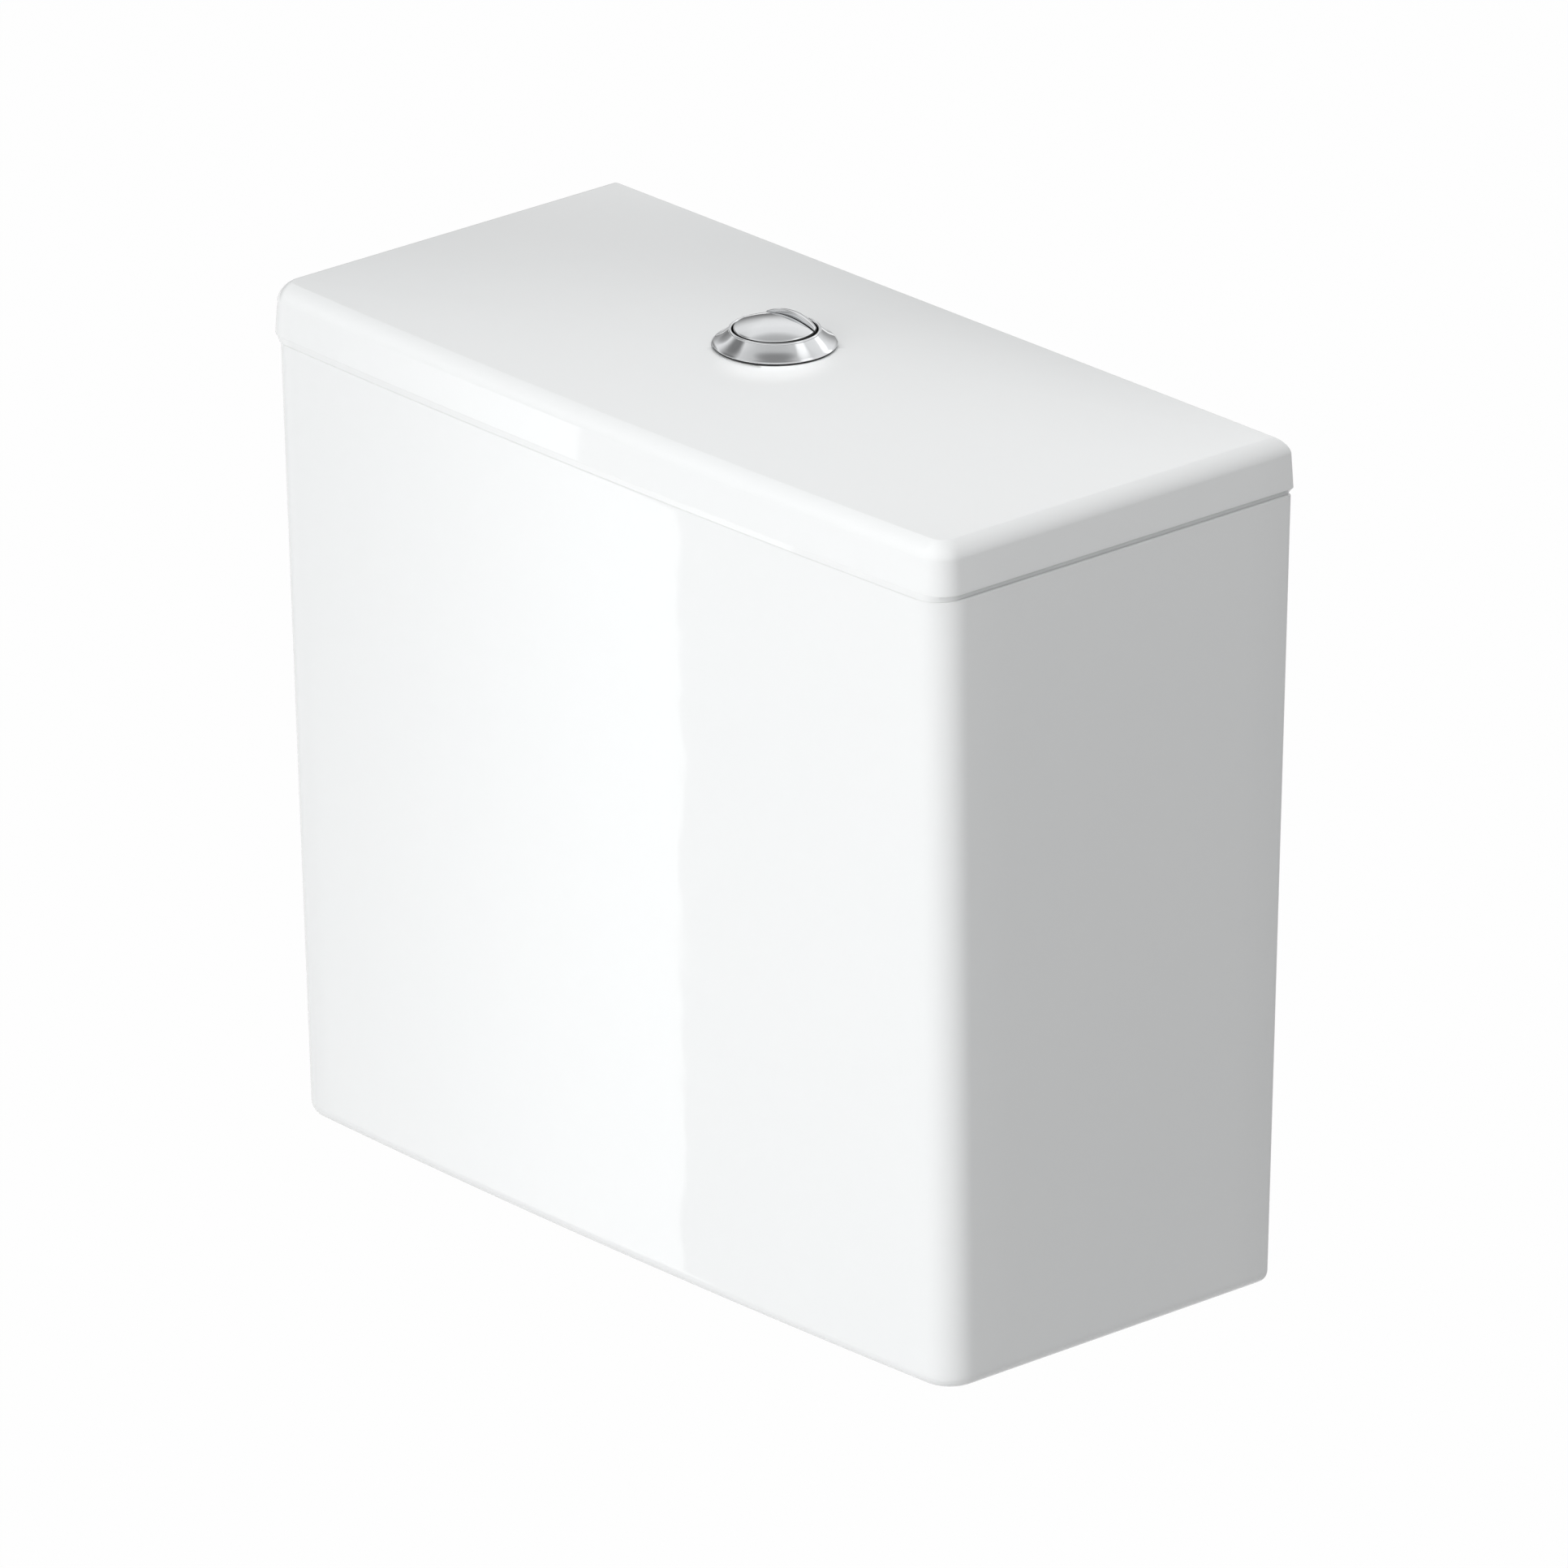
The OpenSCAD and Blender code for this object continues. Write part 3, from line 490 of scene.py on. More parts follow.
def ring_stack(name: str, rings: Sequence[Ring], tip: Tip = Tip.FLAT) -> Piece:
    """Model a piece from a circle that is extruded and shaped ring by ring.

    Args:
        name: the piece's name.
        rings: the rings in order, in millimetres, all with as many points.
        tip: how the ends are closed; a loop joins the last ring to the first.

    Returns:
        The finished piece, shaded smooth.
    """
    count = len(rings[0])
    deselect()
    bpy.ops.mesh.primitive_circle_add(vertices=count, radius=0.1, fill_type="NOTHING")
    piece = bpy.context.object
    piece.name = name
    piece.data.name = name
    bpy.ops.object.mode_set(mode="EDIT")
    mesh = bmesh.from_edit_mesh(piece.data)
    place = mesh.verts.layers.int.new("place")
    for index, vert in enumerate(mesh.verts):
        vert[place] = index
        vert.co = Vector(rings[0][index]) * MM
    bmesh.update_edit_mesh(piece.data)
    for ring in list(rings[1:]) + ([rings[0]] if tip is Tip.LOOP else []):
        bpy.ops.mesh.extrude_region_move()
        mesh = bmesh.from_edit_mesh(piece.data)
        place = mesh.verts.layers.int["place"]
        for vert in mesh.verts:
            if vert.select:
                vert.co = Vector(ring[vert[place]]) * MM
        bmesh.update_edit_mesh(piece.data)
    if tip is not Tip.LOOP:
        close_ring(tip)
        bpy.ops.mesh.select_all(action="DESELECT")
        mesh = bmesh.from_edit_mesh(piece.data)
        mesh.verts.ensure_lookup_table()
        for vert in mesh.verts[:count]:
            vert.select = True
        mesh.select_flush(True)
        bmesh.update_edit_mesh(piece.data)
        close_ring(Tip.FLAT)
    bpy.ops.object.mode_set(mode="OBJECT")
    piece.data.attributes.remove(piece.data.attributes["place"])
    tidy_mesh(piece)
    smooth(piece)
    return piece


def close_ring(tip: Tip) -> None:
    """Close the selected ring with a face or draw it to a point."""
    if tip is Tip.POINT:
        bpy.ops.mesh.merge(type="CENTER")
    else:
        bpy.ops.mesh.edge_face_add()


def circle(r: float, z: float, count: int, centre: tuple[float, float] = (0.0, 0.0)) -> Ring:
    """A level ring.

    Args:
        r: radius.
        z: level.
        count: number of points.
        centre: its middle.

    Returns:
        The ring's points.
    """
    turns = [math.tau * i / count for i in range(count)]
    return [(centre[0] + r * math.cos(a), centre[1] + r * math.sin(a), z) for a in turns]


def lathe(name: str, profile: Sequence[tuple[float, float]], count: int = 96, tip: Tip = Tip.FLAT) -> Piece:
    """Turn a profile of radii and levels about the Z axis.

    Args:
        name: the piece's name.
        profile: radius and level of each ring.
        count: points on a ring.
        tip: how the ends are closed.

    Returns:
        The finished piece.
    """
    return ring_stack(name, [circle(r, z, count) for r, z in profile], tip)


def arc(middle: tuple[float, float], r: float, start: float, end: float, steps: int) -> list[tuple[float, float]]:
    """Points on an arc in a profile.

    Args:
        middle: radius and level of its centre.
        r: its radius.
        start: first angle in degrees.
        end: last angle in degrees.
        steps: number of steps.

    Returns:
        The points, ends included.
    """
    angles = [math.radians(start + (end - start) * i / steps) for i in range(steps + 1)]
    return [(middle[0] + r * math.cos(a), middle[1] + r * math.sin(a)) for a in angles]


def cut(piece: Piece, cutter: Piece, operation: str = "DIFFERENCE") -> None:
    """Apply a boolean to a piece and remove the cutter.

    Args:
        piece: the piece that stays.
        cutter: the solid that cuts or bounds it.
        operation: the boolean's operation.
    """
    pick(piece)
    modifier = piece.modifiers.new("cut", "BOOLEAN")
    modifier.object = cutter
    modifier.operation = operation
    modifier.solver = "EXACT"
    bpy.ops.object.modifier_apply(modifier=modifier.name)
    bpy.data.objects.remove(cutter)


def bevel(piece: Piece, width: float, segments: int = 2, degrees: float = 40.0) -> None:
    """Round the sharp edges of a piece.

    Args:
        piece: the piece.
        width: width of the rounding in millimetres.
        segments: steps of the rounding.
        degrees: edges sharper than this are rounded.
    """
    pick(piece)
    modifier = piece.modifiers.new("edge", "BEVEL")
    modifier.width = width * MM
    modifier.segments = segments
    modifier.limit_method = "ANGLE"
    modifier.angle_limit = math.radians(degrees)
    bpy.ops.object.modifier_apply(modifier=modifier.name)


def join(name: str, pieces: Sequence[Piece]) -> Piece:
    """Join pieces into one object with several shells.

    Args:
        name: the joined piece's name.
        pieces: what is joined.

    Returns:
        The joined piece.
    """
    deselect()
    for piece in pieces:
        piece.select_set(True)
    bpy.context.view_layer.objects.active = pieces[0]
    bpy.ops.object.join()
    pieces[0].name = name
    pieces[0].data.name = name
    return pieces[0]


def dress(piece: Piece, material: bpy.types.Material, body: str, slot: Slot, *nodes: str) -> Piece:
    """Give a piece its material and its body, and hide the nodes that it stands for.

    Args:
        piece: the piece.
        material: its finish.
        body: the body that carries it.
        slot: the record's slot; not used.
        nodes: the CAD nodes that it replaces.

    Returns:
        The piece.
    """
    piece.data.materials.clear()
    piece.data.materials.append(material)
    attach(piece, body)
    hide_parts(*nodes)
    log.info("%s rides on %s", piece.name, body)
    return piece


@dataclass
class Outline:
    """Plan outline with a bowed front, shared by the tank and the lid."""

    bow: float = 4.0
    front_steps: int = 44
    corner_steps: int = 10
    back_steps: int = 6
    side_steps: int = 8

    def points(self, half: float, front: float, back: float, front_r: float, back_r: float) -> list[tuple[float, float]]:
        """Points of the outline, counter-clockwise from the front's left end.

        Args:
            half: half the width.
            front: the front's middle.
            back: the back.
            front_r: radius of the front corners.
            back_r: radius of the back corners.

        Returns:
            The points.
        """
        slope = math.atan(2 * self.bow / half)
        end = half - front_r * (1 - math.sin(slope))
        mid = front + self.bow * (end / half) ** 2 + front_r * math.cos(slope)
        right: list[tuple[float, float]] = []
        for i in range(self.front_steps + 1):
            x = end * (2 * i / self.front_steps - 1)
            right.append((x, front + self.bow * (x / half) ** 2))
        corner = arc((half - front_r, mid), front_r, math.degrees(slope) - 90, 0, self.corner_steps)
        right += corner[1:]
        high = back - back_r
        right += [(half, mid + (high - mid) * i / self.side_steps) for i in range(1, self.side_steps)]
        right += arc((half - back_r, high), back_r, 0, 90, self.back_steps)
        run = half - back_r
        right += [(run - 2 * run * i / self.front_steps, back) for i in range(1, self.front_steps)]
        right += arc((back_r - half, high), back_r, 90, 180, self.back_steps)
        right += [(-half, high + (mid - high) * i / self.side_steps) for i in range(1, self.side_steps)]
        corner = arc((front_r - half, mid), front_r, 180, 270 - math.degrees(slope), self.corner_steps)
        return right + corner[:-1]


@dataclass
class CeramicTank:
    """The glazed tank."""

    plan: Outline = field(default_factory=Outline)
    width: float = 382.0
    depth: float = 171.0
    height: float = 325.5
    under_z: float = 11.0
    side_flare: float = 4.0
    front_flare: float = 8.9
    back_flare: float = 4.8
    front_r: float = 14.5
    back_r: float = 2.5
    base_round: float = 6.0
    rim_round: float = 0.75
    rim_inner_round: float = 2.0
    wall: float = 9.5
    floor_t: float = 12.0
    floor_round: float = 10.0
    outlet_r: float = 32.5
    bolt_x: float = 75.0
    bolt_r: float = 5.5
    inlet_x: float = -140.0
    inlet_r: float = 11.48
    inner_r: float = 5.0

    def rim_z(self) -> float:
        """Level of the rim."""
        return self.under_z + self.height

    def limits(self, z: float) -> tuple[float, float, float]:
        """Half width, front and back of the outer face at a level."""
        share = (z - self.under_z) / self.height
        return (
            self.width / 2 + self.side_flare * share,
            -self.depth / 2 - self.front_flare * share,
            self.depth / 2 + self.back_flare * share,
        )

    def ring(self, z: float, inset: float, least: float = 1.0) -> Ring:
        """Ring at a level.

        Args:
            z: the level.
            inset: distance in from the outer face.
            least: least radius of the front corners.

        Returns:
            The ring's points.
        """
        half, front, back = self.limits(z)
        flat = self.plan.points(
            half - inset,
            front + inset,
            back - inset,
            max(self.front_r - inset, least),
            max(self.back_r - inset, 1.0),
        )
        return [(x, y, z) for x, y in flat]

    def spread(self, z: float, inset: float, least: float, share: float) -> Ring:
        """Ring between the outlet hole and an inset outline.

        Args:
            z: the level.
            inset: inset of the outline.
            least: least radius of its front corners.
            share: nothing at the hole, one at the outline.

        Returns:
            The ring's points.
        """
        rings = []
        for x, y, _ in self.ring(z, inset, least):
            turn = math.atan2(y, x)
            near = (self.outlet_r * math.cos(turn), self.outlet_r * math.sin(turn))
            rings.append((near[0] + (x - near[0]) * share, near[1] + (y - near[1]) * share, z))
        return rings

    def build(self) -> Piece:
        """Model the tank: underside, base round, walls, rim, inside and the holes in the floor."""
        steps = 8
        turns = [math.pi / 2 * i / steps for i in range(steps + 1)]
        floor = self.under_z + self.floor_t
        rim = self.rim_z()
        rings = [self.spread(self.under_z, self.base_round, 1.0, s) for s in (0, 0.5, 0.97)]
        for a in turns:
            rings.append(self.ring(self.under_z + self.base_round * (1 - math.cos(a)), self.base_round * (1 - math.sin(a))))
        for share in (0.021, 0.15, 0.35, 0.55, 0.75, 0.9, 0.994):
            rings.append(self.ring(self.under_z + self.height * share, 0))
        for a in turns:
            rings.append(self.ring(rim - self.rim_round * (1 - math.sin(a)), self.rim_round * (1 - math.cos(a))))
        for a in turns:
            inset = self.wall - self.rim_inner_round * (1 - math.sin(a))
            rings.append(self.ring(rim - self.rim_inner_round * (1 - math.cos(a)), inset, self.inner_r))
        for share in (0.7, 0.4):
            rings.append(self.ring(floor + self.height * share, self.wall, self.inner_r))
        for a in turns:
            inset = self.wall + self.floor_round * (1 - math.cos(a))
            rings.append(self.ring(floor + self.floor_round * (1 - math.sin(a)), inset, self.inner_r))
        for share in (0.97, 0.5, 0):
            rings.append(self.spread(floor, self.wall + self.floor_round, self.inner_r, share))
        tank = ring_stack("ceramic_tank", rings, Tip.LOOP)
        for x, r in ((self.bolt_x, self.bolt_r), (-self.bolt_x, self.bolt_r), (self.inlet_x, self.inlet_r)):
            deselect()
            bpy.ops.mesh.primitive_cylinder_add(
                vertices=40, radius=r * MM, depth=0.04, location=(x * MM, 0, (self.under_z + floor) / 2 * MM)
            )
            cut(tank, bpy.context.object)
        smooth(tank)
        return tank

    def dress(self) -> None:
        """Build the tank and glaze it."""
        glaze = GlazeFinish("tank_glaze", self.under_z + 0.6).make()
        dress(self.build(), glaze, "tank", Slot.GLAZE, "tank")


@dataclass
class CeramicLid:
    """The crowned lid with its lip, foot and button boss."""

    tank: CeramicTank
    overhang: float = 0.7
    gap: float = 2.5
    side_h: float = 20.7
    lean: float = 1.0
    top_round: float = 5.5
    round_drop: float = 6.5
    round_arc: float = 50.0
    edge_round: float = 0.4
    crown_h: float = 5.8
    front_r: float = 11.5
    thick: float = 9.0
    foot_inset: float = 2.0
    front_inset: float = 0.7
    lip_h: float = 6.0
    lip_t: float = 5.0
    lip_clear: float = 3.0
    hole_r: float = 20.0
    seat_r: float = 24.5
    seat_sink: float = 0.4
    boss_r: float = 30.0
    boss_drop: float = 1.7

    def edge(self) -> tuple[float, float, float]:
        """Half width, front and back of the lid's lower edge."""
        half, front, back = self.tank.limits(self.tank.rim_z())
        return half + self.overhang, front - self.overhang, back + self.overhang

    def top_z(self) -> float:
        """Level of the upper edge, where the crown starts."""
        return self.tank.rim_z() + self.gap + self.side_h

    def flat(self, inset: float) -> list[tuple[float, float]]:
        """Outline at an inset from the lower edge."""
        half, front, back = self.edge()
        return self.tank.plan.points(
            half - inset,
            front + inset,
            back - inset,
            max(self.front_r - inset, 1.0),
            max(self.tank.back_r - inset, 1.0),
        )

    def ring(self, z: float, inset: float) -> Ring:
        """Level ring at an inset."""
        return [(x, y, z) for x, y in self.flat(inset)]

    def foot(self, z: float) -> Ring:
        """Ring where the undercut meets the rim, shallow along the front and deeper round the corners."""
        front = self.edge()[1] + self.tank.plan.bow
        ring = []
        for (x, y), (deep_x, deep_y) in zip(self.flat(self.front_inset), self.flat(self.foot_inset)):
            share = min(1.0, max(0.0, (y - front) / (0.3 * self.front_r)))
            ring.append((x + (deep_x - x) * share, y + (deep_y - y) * share, z))
        return ring

    def crown(self, x: float, y: float) -> float:
        """Height of the crown over the upper edge."""
        half, front, back = self.edge()
        inset = self.lean + self.top_round
        u = x / (half - inset)
        near = front + inset + self.tank.plan.bow * u * u
        far = back - inset
        v = (2 * y - near - far) / (far - near)
        return self.crown_h * max(0.0, 1 - u * u) * max(0.0, 1 - v * v)

    def crowned(self, base: float, inset: float, r: float, share: float, least: float = -1e9) -> Ring:
        """Ring of a crowned face between a circle round the button and an outline.

        Args:
            base: level of the face's edge.
            inset: inset of the outline.
            r: radius of the circle.
            share: nothing at the circle, one at the outline.
            least: least level.

        Returns:
            The ring's points.
        """
        ring = []
        for x, y in self.flat(inset):
            turn = math.atan2(y, x)
            near = (r * math.cos(turn), r * math.sin(turn))
            px = near[0] + (x - near[0]) * share
            py = near[1] + (y - near[1]) * share
            ring.append((px, py, max(base + self.crown(px, py), least)))
        return ring

    def disc(self, r: float, z: float) -> Ring:
        """Level circle round the button with the outline's number of points."""
        turns = [math.atan2(y, x) for x, y in self.flat(0)]
        return [(r * math.cos(a), r * math.sin(a), z) for a in turns]

    def build(self) -> Piece:
        """Model the lid: crown, seat, hole, boss, ceiling, lip, foot, side and upper round."""
        rim = self.tank.rim_z()
        top = self.top_z()
        low = rim + self.gap
        inset = self.lean + self.top_round
        seat = top + self.crown_h - self.seat_sink
        boss = top + self.crown_h - self.thick - self.boss_drop
        ceiling = top - self.thick
        lip = self.overhang + self.tank.wall + self.lip_clear
        inner = lip + self.lip_t + 1.5
        shares = (0.997, 0.985, 0.96, 0.92, 0.86, 0.78, 0.68, 0.57, 0.46, 0.35, 0.25, 0.16, 0.08, 0.03, 0)
        rings = [self.crowned(top, inset, self.seat_r, s, seat if s == 0 else -1e9) for s in shares]
        rings.append(self.disc(self.seat_r - 0.15, seat))
        rings.append(self.disc(self.hole_r + 0.6, seat))
        rings.append(self.disc(self.hole_r, seat - 0.6))
        rings.append(self.disc(self.hole_r, boss))
        rings.append(self.disc(self.boss_r - 1, boss))
        rings.append(self.disc(self.boss_r, boss + 1))
        for share in (0, 0.12, 0.35, 0.65, 0.92, 1):
            rings.append(self.crowned(ceiling, inner, self.boss_r, share))
        for z, i in (
            (rim - self.lip_h + 1.2, lip + self.lip_t),
            (rim - self.lip_h + 0.3, lip + self.lip_t - 0.4),
            (rim - self.lip_h, lip + self.lip_t - 1.2),
            (rim - self.lip_h, lip + 1.2),
            (rim - self.lip_h + 0.3, lip + 0.4),
            (rim - self.lip_h + 1.2, lip),
            (rim, lip),
        ):
            rings.append(self.ring(z, i))
        rings.append(self.foot(rim))
        start, end = low + self.edge_round, top - self.round_drop
        lean = self.lean * (end - start) / (top - self.top_round - start)
        for z, i in (
            (low, self.edge_round),
            (low + 0.3 * self.edge_round, 0.3 * self.edge_round),
            (start, 0.0),
            (start + 0.02 * (end - start), 0.02 * lean),
            (end - 0.02 * (end - start), 0.98 * lean),
        ):
            rings.append(self.ring(z, i))
        chord, half = math.atan2(inset - lean, self.round_drop), math.radians(self.round_arc / 2)
        first, last = chord - half, chord + half
        r = self.round_drop / (math.sin(last) - math.sin(first))
        for share in (0, 0.04, 0.12, 0.25, 0.38, 0.5, 0.62, 0.75, 0.88, 0.96, 1):
            a = first + (last - first) * share
            rings.append(self.ring(top - r * (math.sin(last) - math.sin(a)), inset - r * (math.cos(a) - math.cos(last))))
        return ring_stack("ceramic_lid", rings, Tip.LOOP)

    def dress(self) -> None:
        """Build the lid and glaze it."""
        glaze = GlazeFinish("lid_glaze", self.tank.rim_z() + 0.4).make()
        dress(self.build(), glaze, "lid", Slot.GLAZE, "lid")


@dataclass
class PushButton:
    """Chrome bezel with the large and the small button, their rod sockets and springs."""

    base_z: float = 365.9
    base_r: float = 24.1
    rim_r: float = 17.95
    rim_h: float = 6.1
    edge: float = 0.6
    hollow: float = 0.35
    button_r: float = 16.0
    clear: float = 0.6
    shank_r: float = 19.4
    shank_wall: float = 2.4
    shank_len: float = 26.1
    cup_depth: float = 12.0
    cup_floor: float = 3.0
    thread_pitch: float = 2.0
    thread_h: float = 0.7
    split_y: float = 7.4
    split_gap: float = 0.6
    dome_r: float = 49.0
    dome_rise: float = 3.3
    dome_y: float = 1.0
    ridge_rise: float = 5.0
    ridge_y: float = 8.4
    ridge_r: float = 5.0
    ridge_arc: float = 27.0
    skirt: float = 2.0
    wall: float = 1.8
    full_rod: tuple[float, float] = (5.0, -10.0)
    half_rod: tuple[float, float] = (-5.0, 12.0)
    rod_hole: float = 2.05
    boss_drop: float = 4.0
    travel: float = 5.0
    wire_r: float = 0.25
    coil_r: float = 2.85
    coils: int = 5

    def bezel(self) -> Piece:
        """Model the bezel: foot, hollow cone, rim bead, cup and threaded shank."""
        bore = self.button_r + self.clear
        half = (self.rim_r - bore) / 2
        bead = self.rim_h - half
        outer = [(self.shank_r, 0.0), (self.base_r - 0.25, 0.0), (self.base_r, 0.2), (self.base_r, self.edge - 0.15)]
        for i in range(1, 17):
            t = i / 16
            sag = self.hollow * math.sin(math.pi * t)
            outer.append((self.base_r + (self.rim_r - self.base_r) * t, self.edge + (bead - self.edge) * t - sag))
        outer += arc((bore + half, bead), half, 15, 180, 11)
        outer += [(bore, -self.cup_depth + 0.5), (bore - 0.5, -self.cup_depth), (3.0, -self.cup_depth)]
        deep = self.cup_depth + self.cup_floor
        inner = self.shank_r - self.shank_wall
        under = [(3.0, -deep), (inner, -deep), (inner, -self.shank_len), (self.shank_r - 0.6, -self.shank_len)]
        z = -self.shank_len + 0.6
        while z < -self.thread_pitch:
            under += [(self.shank_r - self.thread_h, z), (self.shank_r, z + 0.4 * self.thread_pitch)]
            under.append((self.shank_r, z + 0.6 * self.thread_pitch))
            z += self.thread_pitch
        profile = [(r, self.base_z + z) for r, z in outer + under]
        piece = lathe("chrome_bezel", profile, 128, Tip.LOOP)
        for x, y in (self.full_rod, self.half_rod):
            deselect()
            spot = (x * MM, y * MM, (self.base_z - self.cup_depth) * MM)
            bpy.ops.mesh.primitive_cylinder_add(vertices=24, radius=self.rod_hole * MM, depth=0.01, location=spot)
            cut(piece, bpy.context.object)
        smooth(piece, 40)
        return piece

    def side(self, front: bool, inset: float) -> list[tuple[float, float]]:
        """Outline of one button: its arc and its straight split edge, with small corner rounds.

        Args:
            front: the large button, or the small one.
            inset: distance in from the outline.

        Returns:
            The points, counter-clockwise.
        """
        r = self.button_r - inset
        chord = self.split_y + (-1 if front else 1) * (self.split_gap / 2 + inset)
        end = math.degrees(math.asin(chord / r))
        start, stop = (180 - end, 360 + end) if front else (end, 180 - end)
        points = arc((0.0, 0.0), r, start, stop, 72 if front else 40)
        first, last = points[-1], points[0]
        steps = 40
        line = [(first[0] + (last[0] - first[0]) * i / steps, first[1]) for i in range(1, steps)]
        return points + line

    def heart(self, front: bool) -> tuple[float, float]:
        """Point towards which the rings of a button shrink."""
        return (0.0, -3.5) if front else (0.0, 11.4)

    def dome(self, x: float, y: float) -> float:
        """Top of the large button above the bezel's base."""
        away = self.dome_r**2 - x * x - (y - self.dome_y) ** 2
        return self.rim_h + self.dome_rise - self.dome_r + math.sqrt(away)

    def ridge(self, x: float, y: float) -> float:
        """Top of the small button above the bezel's base: a barrel along the split."""
        shoulder = self.rim_h - 0.5
        r = self.ridge_r - x * x / (2 * self.ridge_arc)
        level = self.rim_h + self.ridge_rise - self.ridge_r
        away = r * r - (y - self.ridge_y) ** 2
        barrel = level + math.sqrt(away) if r > 0 and away > 0 else shoulder
        soft = 0.35
        most = max(barrel, shoulder)
        return most + soft * math.log(math.exp((barrel - most) / soft) + math.exp((shoulder - most) / soft)) - soft * 0.3

    def cap(self, name: str, front: bool, top: Callable[[float, float], float]) -> Piece:
        """Model one button: hollow underside, skirt, rounded edge and shaped top.

        Args:
            name: the piece's name.
            front: the large button, or the small one.
            top: height of its top above the bezel's base.

        Returns:
            The piece.
        """
        heart = self.heart(front)
        base = self.side(front, 0.0)

        def drawn(inset: float, share: float) -> list[tuple[float, float]]:
            """Outline at an inset, drawn towards the heart."""
            flat = self.side(front, inset) if inset else base
            return [(heart[0] + (x - heart[0]) * share, heart[1] + (y - heart[1]) * share) for x, y in flat]

        def level(points: list[tuple[float, float]], z: float) -> Ring:
            """Ring at one level."""
            return [(x, y, self.base_z + z) for x, y in points]

        def shaped(points: list[tuple[float, float]], drop: float) -> Ring:
            """Ring on the top, lowered by a little at the edge."""
            return [(x, y, self.base_z + top(x, y) - drop) for x, y in points]

        wall = drawn(self.wall, 1.0)
        roof = 3.2
        rings = [level(drawn(self.wall, 0.4), roof), level(wall, roof), level(wall, -self.skirt)]
        rings.append(level(base, -self.skirt))
        rings.append(shaped(base, 0.45))
        rings += [shaped(drawn(0.06, 1.0), 0.2), shaped(drawn(0.18, 1.0), 0.06), shaped(drawn(0.38, 1.0), 0.0)]
        shares = (0.96, 0.9, 0.82, 0.72, 0.6, 0.48, 0.36, 0.24, 0.12)
        rings += [shaped(drawn(0.4, share), 0.0) for share in shares]
        piece = ring_stack(name, rings, Tip.POINT)
        smooth(piece, 50)
        return piece

    def boss(self, name: str, place: tuple[float, float], r: float) -> Piece:
        """Model the socket under a button that holds its rod."""
        profile = [(2.05, -self.boss_drop), (r - 0.3, -self.boss_drop), (r, -self.boss_drop + 0.3), (r, 3.6), (2.05, 3.6)]
        rings = [circle(rr, self.base_z + z, 40, place) for rr, z in profile]
        return ring_stack(name, rings, Tip.LOOP)

    def spring(self, name: str, place: tuple[float, float]) -> Piece:
        """Model a coil spring by screwing a wire section round its axis.

        Args:
            name: the piece's name.
            place: its axis.

        Returns:
            The piece.
        """
        low = self.base_z - self.cup_depth + self.wire_r
        high = self.base_z - self.boss_drop - self.wire_r
        deselect()
        bpy.ops.mesh.primitive_circle_add(
            vertices=10,
            radius=self.wire_r * MM,
            fill_type="NGON",
            location=(self.coil_r * MM, 0, low * MM),
            rotation=(math.pi / 2, 0, 0),
        )
        piece = bpy.context.object
        piece.name = name
        bpy.ops.object.transform_apply(location=True, rotation=True, scale=True)
        screw = piece.modifiers.new("coil", "SCREW")
        screw.screw_offset = (high - low) / self.coils * MM
        screw.iterations = self.coils
        screw.steps = 28
        screw.render_steps = 28
        screw.use_merge_vertices = True
        bpy.ops.object.modifier_apply(modifier=screw.name)
        tidy_mesh(piece)
        bpy.ops.object.mode_set(mode="EDIT")
        bpy.ops.mesh.select_all(action="SELECT")
        bpy.ops.transform.translate(value=(place[0] * MM, place[1] * MM, 0))
        bpy.ops.object.mode_set(mode="OBJECT")
        smooth(piece, 50)
        return piece

    def dress(self, steel: bpy.types.Material) -> None:
        """Build the button group and chrome it.

        Args:
            steel: finish of the springs.
        """
        middle = (0.0, self.dome_y, self.base_z + self.rim_h + self.dome_rise - self.dome_r)
        chrome = ChromeFinish("chrome_plate", self.button_r + 2 * self.clear, middle, self.dome_r).make()
        dress(self.bezel(), chrome, "lid", Slot.CHROME, "button_bezel")
        full = join("large_button", [self.cap("large_button", True, self.dome), self.boss("full_socket", self.full_rod, 4.0)])
        dress(full, chrome, "full_button", Slot.CHROME, "full_flush_button")
        half = join("small_button", [self.cap("small_button", False, self.ridge), self.boss("half_socket", self.half_rod, 3.2)])
        dress(half, chrome, "half_button", Slot.CHROME, "half_flush_button")
        for node, joint, place in (
            ("full_button_spring", "full_flush_press", self.full_rod),
            ("half_button_spring", "half_flush_press", self.half_rod),
        ):
            coil = dress(self.spring(node.replace("button", "coil"), place), steel, "lid", Slot.STEEL, node)
            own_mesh(coil)


